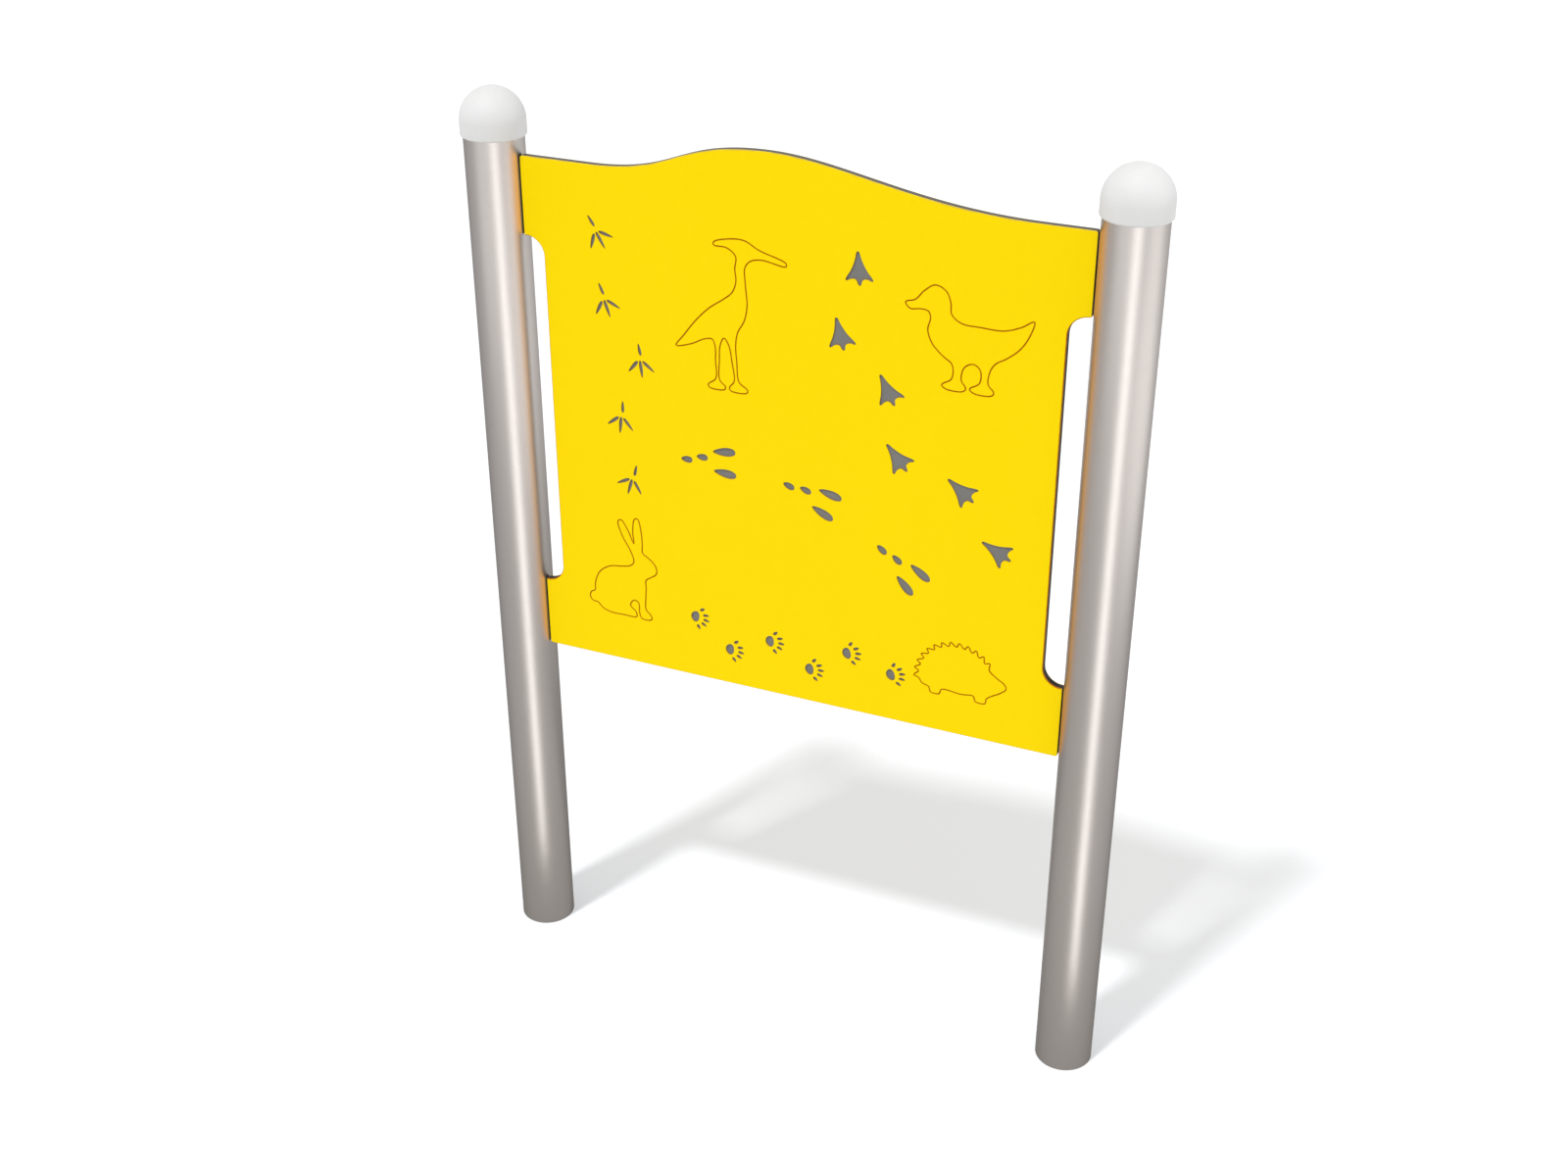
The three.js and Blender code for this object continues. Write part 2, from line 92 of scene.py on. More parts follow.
post_radius = (post_high.x - post_low.x) / 2
post_x = -(post_high.x + post_low.x) / 2
post_top = post_high.z
cap_radius = (cap_high.x - cap_low.x) / 2
cap_rim = cap_low.z
cap_top = cap_high.z
panel_half_width, panel_crest = front_high.x, front_high.z
panel_foot = front_low.z
front_y, core_front_y, core_rear_y, rear_y = front_low.y, core_low.y, core_high.y, rear_high.y
print("post: radius", round(post_radius, 4), "axis at x", round(post_x, 4), "top", round(post_top, 4))
print("sheet: front", round(front_y, 4), "core", round(core_front_y, 4), round(core_rear_y, 4))

# %% [markdown]
# ## Camera
#
# The photograph looks down on the sign from its front right. The posts' edges, ends and caps fix
# the camera: its place, its turn about the vertical, its tilt and its lens. The posts lean apart
# in the picture only because the camera looks down, so a plain camera without shift is enough.

# %% Set up the camera
camera_turn = math.radians(23.2904)
camera_tilt = math.radians(28.7739)
camera_place = Vector((1.16453, -2.75109, 2.49212))


def linked(name, data):
    """A new object in the scene, which holds a camera, a lamp or a mesh."""
    made = bpy.data.objects.new(name, data)
    bpy.context.scene.collection.objects.link(made)
    return made


camera_data = bpy.data.cameras.new("sign_camera")
camera_data.sensor_width = 36
camera_data.lens = 45.525
camera = linked("sign_camera", camera_data)
camera.location = camera_place
camera.rotation_euler = (quarter_turn - camera_tilt, 0, camera_turn)
bpy.context.scene.camera = camera
bpy.context.scene.view_settings.view_transform = "Standard"
print("camera stands", round(camera_place.length, 2), "m from the middle of the sign's foot")

# %% [markdown]
# ## Background and floor
#
# The photograph is a studio picture on pure white with one soft shadow. Real studios light a paper
# sweep until it is white, which would also flood the sign with light. Here the world and the floor
# look white to the camera and in reflections, while for lighting the sign they are plain surfaces
# of a moderate brightness. The floor's white is partly its own glow and partly lit by the lamps,
# so that the sign's shadow still darkens it. All shaders below use the same few helpers.

# %% Wire shader nodes with few words
def feed(step, sources):
    """Fills a node's inputs, in their order or by name: sockets are linked, plain values set."""
    for key, source in sources.items() if isinstance(sources, dict) else enumerate(sources):
        if isinstance(source, bpy.types.NodeSocket):
            step.id_data.links.new(source, step.inputs[key])
        else:
            step.inputs[key].default_value = source


def node(tree, kind, sources=(), **settings):
    """A new node with its settings made and its inputs filled."""
    step = tree.nodes.new("ShaderNode" + kind)
    for setting, value in settings.items():
        setattr(step, setting, value)
    feed(step, sources)
    return step


def result(tree, kind, sources=(), key=0, **settings):
    """One output socket of a new node."""
    return node(tree, kind, sources, **settings).outputs[key]


def calc(operation, *terms):
    """A Math node in the tree of its first socket; the terms are sockets or numbers."""
    tree = next(term.id_data for term in terms if isinstance(term, bpy.types.NodeSocket))
    return result(tree, "Math", terms, operation=operation)


def seen_by(tree, *rays):
    """1 where one of the named kinds of ray looks at the surface."""
    path = node(tree, "LightPath").outputs
    share = path[rays[0]]
    for ray in rays[1:]:
        share = calc("MAXIMUM", share, path[ray])
    return share


print("a kind such as Math is short for", bpy.types.ShaderNodeMath.__name__)

# %% Make the world
dome_strength = 0.62
mirrored = ("Is Glossy Ray", "Is Transmission Ray")

world = bpy.data.worlds.new("studio")
bpy.context.scene.world = world
world.use_nodes = True
tree = world.node_tree
tree.nodes.clear()
dome, backdrop = [result(tree, "Background", ((1, 1, 1, 1), strength)) for strength in (dome_strength, 1)]
look = result(tree, "MixShader", (seen_by(tree, "Is Camera Ray", *mirrored), dome, backdrop))
node(tree, "OutputWorld", (look,))
print("the world is 1 where it is seen and lights with", dome_strength)

# %% Lay the floor
def mesh_object(name, vertices, faces, place=Matrix()):
    """A mesh object in the scene; place moves and turns what isn't drawn in its place."""
    mesh = bpy.data.meshes.new(name)
    mesh.from_pydata([tuple(place @ Vector(vertex)) for vertex in vertices], [], faces)
    return linked(name, mesh)


def paper(paper_colour, glow):
    """A matt floor that also glows a little by itself."""
    matt = result(tree, "BsdfDiffuse", ((*paper_colour, 1),))
    return result(tree, "AddShader", (matt, result(tree, "Emission", {"Strength": glow})))


floor_reach = 30
floor_material = bpy.data.materials.new("studio_floor")
floor_material.use_nodes = True
tree = floor_material.node_tree
tree.nodes.clear()
lighting = paper((0.78, 0.78, 0.78), glow=0)
in_steel = paper((0.56, 0.56, 0.56), glow=0.385)
in_view = paper((0.722, 0.736, 0.76), glow=0.268)
look = result(tree, "MixShader", (seen_by(tree, *mirrored), lighting, in_steel))
look = result(tree, "MixShader", (seen_by(tree, "Is Camera Ray"), look, in_view))
node(tree, "OutputMaterial", (look,))

floor_corners = [(x * floor_reach, y * floor_reach, 0) for x, y in ((-1, -1), (1, -1), (1, 1), (-1, 1))]
floor = mesh_object("studio_floor", floor_corners, [(0, 1, 2, 3)])
floor.data.materials.append(floor_material)
floor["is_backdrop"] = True
print("the floor reaches", floor_reach, "m to each side; its shader has", len(tree.nodes), "nodes")

# %% [markdown]
# ## Lamps
#
# The shadow gives the main lamp away: the sheet's bottom edge and its shoulders throw their
# shadows back and to the right, equally soft near and far. A sun lamp with a wide disc does just
# that. A large soft lamp on the right opens the dark sides of the caps, and together with the
# world they light every surface at a plain level.

# %% Hang the lamps
shadow_side_share = 0.19
shadow_back_share = 0.482
key_place = (-shadow_side_share, -shadow_back_share, 1)
side_place = (3.6, 0.4, 2.6)
side_target = (0, 0, 1.2)


def aimed(place, towards):
    return (Vector(place) - Vector(towards)).to_track_quat("Z", "Y").to_euler()


def hang(data, place, rotation):
    lamp = linked(data.name, data)
    lamp.location = place
    lamp.rotation_euler = rotation
    lamp.visible_camera = False
    return lamp


def soft_lamp(name, place, rotation, width, height, radiance, only=None):
    """A rectangular lamp whose brightness is given, whatever its size; only names what it lights."""
    data = bpy.data.lights.new(name, "AREA")
    data.shape = "RECTANGLE"
    data.size, data.size_y = width, height
    data.energy = radiance * width * height * math.pi
    lamp = hang(data, place, rotation)
    lamp.light_linking.receiver_collection = only
    return lamp


key_data = bpy.data.lights.new("key_lamp", "SUN")
key_data.energy = 1.8
key_data.angle = math.radians(6)
hang(key_data, key_place, aimed(key_place, (0, 0, 0)))
soft_lamp("side_lamp", side_place, aimed(side_place, side_target), width=2.4, height=2.4, radiance=1.5)
key_height = math.degrees(math.atan(1 / math.hypot(shadow_side_share, shadow_back_share)))
print("the main lamp stands", round(key_height, 1), "degrees above the floor")

# %% [markdown]
# ## Reflector boards for the posts
#
# Polished tube shows its surroundings. The camera looks down, so every point of a post mirrors a
# point of the floor: a low point mirrors floor close by, a high point floor some metres away.
# A photographer lays bright boards there and keeps their light off the rest with flags. Light
# linking is Blender's flag: each board is a soft lamp that reaches one post alone. Boards that
# widen away from each post draw its bright streak, and wide ones farther out lift its upper end.

# %% Lay the boards
lit_by_boards = {side_name: bpy.data.collections.new(f"{side_name}_post_only") for side_name in sides}
board_lift = 4 * mm
streak_start = 0.3
streak_spreads = (0.51, 0.51, 0.51, 0.56, 0.64)
streak_lean = {"left": -4, "right": 11}
front_radiance = 3.85
back_bearing, back_radiance = 215, 1.6
wide_end, wide_width = 8.0, 4.5
wide_boards = (("front_board", -20, 3.2, 1.2), ("right_board", 90, 2.0, 1.5),
               ("far_right_board", 150, 3.0, 0.6), ("back_board", 185, 2.0, 0.6),
               ("left_board", -100, 3.0, 0.1))


def board(name, side_name, bearing, start, end, width, radiance):
    """A board on the floor for one post, between two distances from its foot.

    The bearing is in degrees from the sign's front, positive towards its right."""
    turn = math.radians(bearing)
    ahead = Vector((math.sin(turn), -math.cos(turn), 0))
    middle = Vector((sides[side_name] * post_x, 0, board_lift)) + ahead * (start + end) / 2
    soft_lamp(f"{name}_{side_name}", middle, (math.pi, 0, turn), width, end - start, radiance,
              lit_by_boards[side_name])


for side_name, side in sides.items():
    to_camera = math.degrees(math.atan2(camera_place.x - side * post_x, -camera_place.y))
    front_bearing = to_camera + streak_lean[side_name]
    for name, bearing, radiance in (("front_streak", front_bearing, front_radiance),
                                    ("back_streak", back_bearing, back_radiance)):
        for step, spread in enumerate(streak_spreads):
            start = streak_start * 2 ** step
            board(f"{name}_{step}", side_name, bearing, start, start * 2, spread * start, radiance)
    for name, bearing, start, radiance in wide_boards:
        board(name, side_name, bearing, start, wide_end, wide_width, radiance)
print("each post has", 2 * len(streak_spreads) + len(wide_boards), "boards")

# %% [markdown]
# ## The sheet's glow on the posts
#
# In the photograph the yellow sheet is lit so hard that the posts' inner edges mirror it as bright
# orange. Here the sheet has its plain brightness, which would leave those edges olive. Warm boards
# in the plane of the sheet's face, again for the posts alone, give them the glow back. There are
# three for each post, because the handhold takes the sheet's edge further from the post.

# %% Stand the warm boards
glow_width = 0.4
glow_radiance = 1.5
glow_colour = (1.0, 0.29, 0.01)
crest_rise = 56.5 * mm
notch_depth = 35 * mm
notch_rise = 134 * mm
notch_drop = 134.5 * mm

shoulder_z = panel_crest - crest_rise
notch_low = panel_foot + notch_rise
notch_high = shoulder_z - notch_drop
strips = ((panel_foot, notch_low, 0), (notch_low, notch_high, notch_depth), (notch_high, shoulder_z, 0))
for side_name, side in sides.items():
    for number, (low, high, inset) in enumerate(strips):
        place = (side * (panel_half_width - inset - glow_width / 2), front_y - mm, (low + high) / 2)
        lamp = soft_lamp(f"sheet_glow_{side_name}_{number}", place, (-quarter_turn, 0, 0), glow_width,
                         high - low, glow_radiance, lit_by_boards[side_name])
        lamp.data.color = glow_colour
print("the handholds are", round((notch_high - notch_low) / mm), "mm tall; warm boards:", 2 * len(strips))

# %% [markdown]
# ## Drawing outlines
#
# A routed sheet is drawn flat first: its outer edge, its pockets and its grooves are closed lines
# in the front view, across and up. Blender's curve objects could hold them, but rows of points
# are easier to measure and to shift. Every closed line is turned so that the sheet lies on its
# left, which makes moving it to the left always mean moving it into the sheet.

# %% Arcs, curves and even spacing
fewest_points = 8


def arc(centre, radius, start, end, steps):
    angles = np.linspace(start, end, steps + 1)
    return np.column_stack((np.cos(angles), np.sin(angles))) * radius + centre


def circle(centre, radius, steps):
    return arc(centre, radius, 0, full_turn, steps)[:-1]


def bezier(start, first_handle, second_handle, end, steps):
    share = np.linspace(0, 1, steps + 1)[:, None]
    rest = 1 - share
    near = rest**3 * start + 3 * rest**2 * share * first_handle
    return near + 3 * rest * share**2 * second_handle + share**3 * end


def run_along(points):
    """How far along a line each of its points lies."""
    return np.concatenate(([0], np.cumsum(np.linalg.norm(np.diff(points, axis=0), axis=1))))


def evenly(points, spacing):
    """The same closed line with its points about one spacing apart."""
    closed = np.vstack((points, points[:1]))
    run = run_along(closed)
    stops = np.linspace(0, run[-1], max(fewest_points, round(run[-1] / spacing)) + 1)[:-1]
    return np.column_stack([np.interp(stops, run, closed[:, axis]) for axis in (0, 1)])


def smoothed(points, passes):
    for _ in range(passes):
        points = points / 2 + (np.roll(points, 1, axis=0) + np.roll(points, -1, axis=0)) / 4
    return points


def corners_cut(points, passes):
    """Rounds a closed line by cutting each corner at a quarter of its two edges."""
    for _ in range(passes):
        ahead = np.roll(points, -1, axis=0)
        points = np.stack((points * 0.75 + ahead * 0.25, points * 0.25 + ahead * 0.75), axis=1).reshape(-1, 2)
    return points


ring = evenly(circle((0, 0), 1, 200), 0.25)
print("a ring of radius 1, spaced at 0.25, has", len(ring), "points")

# %% Move a closed line sideways
corner_limit = 0.5


def signed_area(points):
    ahead = np.roll(points, -1, axis=0)
    return np.sum(points[:, 0] * ahead[:, 1] - points[:, 1] * ahead[:, 0]) / 2


def anticlockwise(points):
    return points if signed_area(points) > 0 else points[::-1]


def clockwise(points):
    return anticlockwise(points)[::-1]


def moved_left(points, distance):
    """Each point moves to the left of the line's own direction, further at a corner, up to a limit.

    The distance is one number, or a column with one for each point."""
    if not np.any(distance):
        return points
    edges = np.roll(points, -1, axis=0) - points
    edges = edges / np.linalg.norm(edges, axis=1)[:, None]
    left = np.column_stack((-edges[:, 1], edges[:, 0]))
    before = np.roll(left, 1, axis=0)
    reach = np.maximum(1 + np.sum(left * before, axis=1), corner_limit)[:, None]
    return points + (left + before) / reach * distance


smaller = moved_left(ring, 0.2)
print("the ring's area is", round(signed_area(ring), 2), "and 0.2 inside it", round(signed_area(smaller), 2))

# %% [markdown]
# ## From outlines to a closed plate
#
# A routed layer could be cut with booleans, which leaves long thin faces and breaks the rounded
# edges. Here the layer is built from its outlines instead. Each line carries a short list of
# rings, each a distance into the sheet and a depth from its front, so the same line makes a
# rounded edge, a chamfered pocket or a drilled hole. The flat faces between the lines are filled
# with triangles, and a fill counts the lines that it crosses from the outside: odd is sheet.

# %% Fill the area between closed lines
fill_tolerance = 1e-7


def odd_side(triangles, walls):
    """Keeps the triangles that lie behind an odd number of walls, counted from the outside."""
    owners = {}
    borders = [[frozenset((triangle[i], triangle[i - 1])) for i in range(3)] for triangle in triangles]
    for number, borders_of_one in enumerate(borders):
        for border in borders_of_one:
            owners.setdefault(border, []).append(number)
    crossed = {}
    waiting = []
    for border, found in owners.items():
        if len(found) == 1 and found[0] not in crossed:
            crossed[found[0]] = border in walls
            waiting += found
    while waiting:
        number = waiting.pop()
        for border in borders[number]:
            for neighbour in owners[border]:
                if neighbour not in crossed:
                    crossed[neighbour] = crossed[number] ^ (border in walls)
                    waiting.append(neighbour)
    return [triangle for number, triangle in enumerate(triangles) if crossed[number]]


def filled(lines, extra_points=()):
    """Triangles over the sheet between closed lines, as places in the lines' own order."""
    points = [Vector(point) / mm for line in [*lines, extra_points] for point in line]
    borders = []
    start = 0
    for line in lines:
        borders += [(start + i, start + (i + 1) % len(line)) for i in range(len(line))]
        start += len(line)
    found, _, triangles, origins, _, _ = delaunay_2d_cdt(points, borders, [], 0, fill_tolerance)
    if len(found) != len(points):
        raise ValueError("two outlines cross or touch")
    triangles = [tuple(origins[corner][0] for corner in triangle) for triangle in triangles]
    return odd_side(triangles, {frozenset(border) for border in borders})


print("the band between the two rings takes", len(filled([ring, clockwise(smaller)])), "triangles")

# %% Round an edge and join its rings
Line = namedtuple("Line", "points rings opens soil", defaults=("both", 0.0))


def rounded_rings(radius, steps, back):
    """Rings of an edge rounded at its front: distance into the sheet, then depth."""
    turns = np.linspace(0, quarter_turn, steps + 1)
    return [(radius * (1 - math.sin(turn)), radius * (1 - math.cos(turn))) for turn in turns] + [(0, back)]


def wall_faces(first, count, ring_count):
    """Four-sided faces between neighbouring rings of one closed line."""
    faces = []
    for near in range(first, first + (ring_count - 1) * count, count):
        far = near + count
        faces += [(near + i, far + i, far + (i + 1) % count, near + (i + 1) % count) for i in range(count)]
    return faces


print("two rings of four points are joined by the faces", wall_faces(0, 4, 2))

# %% Build a whole plate
def plate(lines, place, extra_points=()):
    """A closed shape from lines that open to the "front", to the "back" or to "both".

    A pocket that opens to one side only gets a floor. The place function turns across, up and depth into a
    point of the scene. A line's painted shade, the darkening painted onto its cut walls, is one number, or
    one for each of its points."""
    vertices, faces, starts, edge_shares, painted_shade_shares = [], [], [], [], []
    for points, rings, _, soil in lines:
        starts.append(len(vertices))
        faces += wall_faces(len(vertices), len(points), len(rings))
        for number, (inset, depth) in enumerate(rings):
            vertices += [place(across, up, depth) for across, up in moved_left(points, inset)]
            edge_shares += [float(0 < number < len(rings) - 1)] * len(points)
            painted_shade_shares += (np.ones(len(points)) * soil * (number > 0)).tolist()
    wall_count = len(faces)

    def cover(kinds, ring_number, extras=()):
        """Triangles that span the first or the last rings of all lines of some kinds."""
        flat_lines, places = [], []
        for line, start in zip(lines, starts):
            if line.opens in kinds:
                ring = ring_number % len(line.rings)
                flat_lines.append(moved_left(line.points, line.rings[ring][0]))
                places += range(start + ring * len(line.points), start + (ring + 1) * len(line.points))
        places += range(len(vertices), len(vertices) + len(extras))
        vertices.extend(place(across, up, lines[0].rings[ring_number][1]) for across, up in extras)
        triangles = filled(flat_lines, extras) if flat_lines else []
        return [tuple(places[corner] for corner in triangle) for triangle in triangles]

    front, back = cover(("both", "front"), 0, extra_points), cover(("both", "back"), -1, extra_points)
    faces += front + cover(("front",), -1) + [face[::-1] for face in back + cover(("back",), 0)]
    blank = [0.0] * (len(vertices) - len(edge_shares))
    return {"vertices": vertices, "faces": faces, "wall_count": wall_count,
            "shares": {"edge_share": edge_shares + blank, "painted_shade_share": painted_shade_shares + blank}}


disc = plate([Line(ring, [(0.1, 0), (0, 0.1), (0, 1)])], lambda across, up, depth: (across, depth, up))
print("a disc with a broken edge has", len(disc["faces"]), "faces,", disc["wall_count"], "in its wall")

# %% [markdown]
# ## Turning round parts
#
# Posts and caps are round, as a lathe makes them: a profile of radius and height turned about an
# axis. Blender's Screw modifier does the same, but it leaves a double seam and a knot of points
# where a profile meets the axis. Here the rings are joined by hand, with enough sides to look
# round, and a point on the axis becomes a single vertex, which keeps the top of a dome clean.

# %% Turn a profile about the upright axis
axis_tolerance = 1e-9
sixth_turn = full_turn / 6


def turned(profile, sides_round, closed):
    """A shape from a profile of (radius, height) that runs with its material on the left.

    A third value beside a radius and a height gives that ring six flats, at that radius."""
    vertices, faces, rings = [], [], []
    for radius, height, *six_sided in profile:
        first = len(vertices)
        if radius < axis_tolerance:
            rings.append([first] * sides_round)
            vertices.append(Vector((0, 0, height)))
            continue
        rings.append(range(first, first + sides_round))
        for turn in np.linspace(0, full_turn, sides_round, endpoint=False):
            off_flat = (turn + sixth_turn / 2) % sixth_turn - sixth_turn / 2
            reach = radius / math.cos(off_flat) if six_sided else radius
            vertices.append(Vector((reach * math.cos(turn), reach * math.sin(turn), height)))
    for near, far in zip(rings, rings[1:] + rings[:1] if closed else rings[1:]):
        for i in range(sides_round):
            j = (i + 1) % sides_round
            corners = tuple(dict.fromkeys((near[i], near[j], far[j], far[i])))
            if len(corners) > 2:
                faces.append(corners)
    return {"vertices": vertices, "faces": faces}


cone = turned([(1, 0), (0, 1)], 8, False)
print("a cone of eight sides has", len(cone["vertices"]), "vertices and", len(cone["faces"]), "faces")

# %% [markdown]
# ## Adding a piece to the sign
#
# The real sign is bolted together from separate pieces, and so is this one. One mesh for all
# would be shorter to write, but nobody could take it apart. Each dressed piece is a mesh of its
# own that rides on the sign's one body, takes its finish from a slot of the record and hides the
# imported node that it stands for. Curved faces are shaded smooth, and any edge sharper than a set
# angle stays crisp.

# %% Add a mesh as a dressed piece
crisp_angle = math.radians(32)
finishes = {}


def mark_covers(mesh, wall_count):
    """Makes the edges between a plate's walls and its flat covers crisp."""
    owners = {}
    for face in mesh.polygons:
        for corner in face.loop_indices:
            owners.setdefault(mesh.loops[corner].edge_index, set()).add(face.index < wall_count)
    for edge, kinds in owners.items():
        if len(kinds) == 2:
            mesh.edges[edge].use_edge_sharp = True


def add_piece(name, stands_for, shape, slot, place=Matrix()):
    """Puts a shape into the scene as a piece of the sign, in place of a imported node."""
    made = mesh_object(name, shape["vertices"], shape["faces"], place)
    mesh = made.data
    mesh.update()
    mesh.polygons.foreach_set("use_smooth", [True] * len(mesh.polygons))
    mesh.set_sharp_from_angle(angle=crisp_angle)
    if "wall_count" in shape:
        mark_covers(mesh, shape["wall_count"])
    for share_name, values in shape.get("shares", {}).items():
        mesh.attributes.new(share_name, "FLOAT", "POINT").data.foreach_set("value", values)
    mesh.materials.append(finishes[slot])
    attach(made, "root")
    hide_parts(stands_for)
    return made


print("edges sharper than", round(math.degrees(crisp_angle)), "degrees stay crisp")

# %% [markdown]
# ## Effects that several finishes share
#
# Real surfaces are never one flat colour: they carry grain, scratches, dust and wear, and some effects here
# also paint shade into it. Painting these by hand on an image would fix them to one part. Here each effect is
# a small node group with named inputs, built once and placed in every finish with its own values. An effect
# only puts out a mask or a height; the finish decides what it does to its colour, gloss or relief.

# %% Small node helpers
def product(*terms):
    return calc("MULTIPLY", *terms)


def noise(tree, scale, detail, stretch=None):
    """Noise over the sign in metres; a stretch scales each axis, which draws it out the other way."""
    place = result(tree, "TexCoord", key="Object")
    if stretch is not None:
        place = result(tree, "VectorMath", (place, stretch), operation="MULTIPLY")
    return result(tree, "TexNoise", {"Vector": place, "Scale": scale, "Detail": detail})


def remapped(value, low, high, to_low=0.0, to_high=1.0):
    """Stretches a range of values to another range and stops at its ends."""
    return result(value.id_data, "MapRange", (value, low, high, to_low, to_high))


def along(vector, axis):
    return result(vector.id_data, "SeparateXYZ", (vector,), axis)


def point_share(tree, name):
    """A share that the points of a plate carry."""
    return result(tree, "Attribute", key="Fac", attribute_name=name)


print("noise, ranges, coordinates and shares each take one short call")

# %% Make an effect and place it in a finish
def spaced(values):
    """Values by their sockets' names: a name can't hold a space in Python, so _ stands for it."""
    return {name.replace("_", " "): value for name, value in values.items()}


def effect(name, output, build, **inputs):
    """A node group with one named output."""
    group = bpy.data.node_groups.new(name, "ShaderNodeTree")
    for socket_name, value in spaced(inputs).items():
        kind = "NodeSocketVector" if isinstance(value, tuple) else "NodeSocketFloat"
        socket = group.interface.new_socket(socket_name, in_out="INPUT", socket_type=kind)
        socket.default_value = value
    group.interface.new_socket(output, in_out="OUTPUT", socket_type="NodeSocketFloat")
    given = group.nodes.new("NodeGroupInput").outputs
    feed(group.nodes.new("NodeGroupOutput"), (build(group, given),))
    print("effect:", name, "takes", [socket.name for socket in given if socket.name], "gives", output)
    return group


def placed(tree, group, **values):
    """An effect in a finish, with its inputs set; returns what it puts out."""
    return result(tree, "Group", spaced(values), node_tree=group)


print("an input written Broad_Scale is found as", *spaced({"Broad_Scale": 6}))

# %% [markdown]
# ### Mottle
#
# Moulded, rolled and galvanised surfaces all vary a little over a hand's width and again over a
# few millimetres. One noise with many octaves would join the two by a whole range of sizes that
# isn't there. Two plain layers of noise, one broad and one fine, keep just the two sizes.

# %% Build the mottle effect
broad_share = 0.6


def build_mottle(tree, given):
    broad = noise(tree, given["Broad Scale"], detail=2)
    fine = noise(tree, given["Fine Scale"], detail=3)
    both = calc("ADD", product(broad, broad_share), product(fine, 1 - broad_share))
    return remapped(both, 0.35, 0.65)


mottle = effect("mottle", "Mask", build_mottle, Broad_Scale=6.0, Fine_Scale=90.0)

# %% [markdown]
# ### Fine scratches
#
# Hands, bags and cleaning leave short, thin scratches that catch the light. A noise that is
# stretched hard along one direction turns into thin streaks, and keeping only its highest values
# leaves a few of them. The stretch is an input, so each finish says which way its scratches run.

# %% Build the scratch effect
scratch_softness = 0.03


def build_scratches(tree, given):
    streaks = noise(tree, scale=1, detail=1, stretch=given["Stretch"])
    thin = remapped(streaks, given["Cut"], calc("ADD", given["Cut"], scratch_softness))
    return product(thin, remapped(noise(tree, scale=14, detail=2), 0.5, 0.62))


scratches = effect("fine_scratches", "Mask", build_scratches, Stretch=(60.0, 60.0, 1800.0), Cut=0.66)

# %% [markdown]
# ### Grain
#
# Extruded sheet, moulded plastic and blasted metal all carry a fine pebbled skin. It is too small
# to model, but it softens every reflection. A Voronoi texture would draw hard cells; noise with
# one and a half octaves has rounded bumps, as a plastic skin has. The same height also gives a
# little change in gloss.

# %% Build the grain effect
def build_grain(tree, given):
    return remapped(noise(tree, given["Scale"], detail=1.5), 0.3, 0.7)


grain = effect("fine_grain", "Height", build_grain, Scale=1400.0)

# %% [markdown]
# ### Tool marks
#
# A grinding belt leaves rings round a tube, and a router leaves fine ridges across the edge that
# it cuts. Both are lines that keep one direction. As with the scratches, stretched noise draws
# them, but here all of its values count, so that the lines cover the whole surface.

# %% Build the tool mark effect
def build_marks(tree, given):
    return remapped(noise(tree, scale=1, detail=4, stretch=given["Stretch"]), 0.3, 0.7)


tool_marks = effect("tool_marks", "Height", build_marks, Stretch=(40.0, 40.0, 3000.0))

# %% [markdown]
# ### Ground splash
#
# Rain throws dust and soil against the foot of anything that stands outdoors. The film is densest at the
# ground, thins out with height and has a broken upper edge. Painted vertex colours would need many more
# vertices on a tall tube. The mask here is the height above the ground, shifted by noise. With a long reach
# it also paints shade: the posts' steel is painted darker slowly from the top down to the foot.

# %% Build the ground splash effect
def build_splash_and_shade(tree, given):
    ragged = product(noise(tree, given["Break Scale"], detail=4), given["Break Height"])
    height = calc("SUBTRACT", along(result(tree, "TexCoord", key="Object"), "Z"), ragged)
    return remapped(height, 0, given["Reach"], 1, 0)


ground_splash_and_shade = effect("ground_splash_and_shade", "Mask", build_splash_and_shade, Reach=0.3, Break_Scale=30.0, Break_Height=0.05)

# %% [markdown]
# ### Settled dust
#
# Dust and pollen settle on whatever faces the sky and stay longest in the small hollows. They
# could be scattered as grains, which nobody would see from a few steps away. The upward part of
# the surface's normal says where the film lies, and noise breaks it into patches.

# %% Build the settled dust effect
def facing(tree, axis):
    """How far the surface looks along an axis."""
    return along(result(tree, "NewGeometry", key="Normal"), axis)


def build_dust(tree, given):
    upward = remapped(facing(tree, "Z"), given["Start"], 1)
    return product(upward, remapped(noise(tree, given["Patch Scale"], detail=5), 0.35, 0.7))


settled_dust = effect("settled_dust", "Mask", build_dust, Start=0.3, Patch_Scale=45.0)

# %% [markdown]
# ### Edge wear
#
# Edges are touched and rubbed first: plastic dulls and metal polishes. Cycles can find edges
# with its Bevel node, but an exported model can't. The plates know where their rounded edges are,
# because their mesh carries an edge share that is 1 on the rounding and 0 on the flats. Noise
# makes the wear come and go along the edge.

# %% Build the edge wear effect
def build_wear(tree, given):
    broken = remapped(noise(tree, given["Break Scale"], detail=3), 0.35, 0.65)
    steady = calc("SUBTRACT", 1, given["Broken Share"])
    kept = calc("ADD", product(broken, given["Broken Share"]), steady)
    return product(point_share(tree, "edge_share"), kept)


edge_wear = effect("edge_wear", "Mask", build_wear, Break_Scale=60.0, Broken_Share=0.6)

# %% [markdown]
# ### Painted shade in grooves and handholds
#
# The deep walls and floors of a groove two millimetres wide, of a pocket and of a handhold lie in shade, and
# this effect paints that shade into the colour: brown in the yellow, nearly black in the grey core's
# handholds. Ambient occlusion could find such places, but it is slow and noisy. The plates carry a second
# share instead, which is 0 at the mouth of a cut and the cut's own share of painted shade below it. Noise
# breaks it up, so that a line isn't drawn with one even pen.

# %% Build the groove dirt effect
thinnest_painted_shade = 0.75


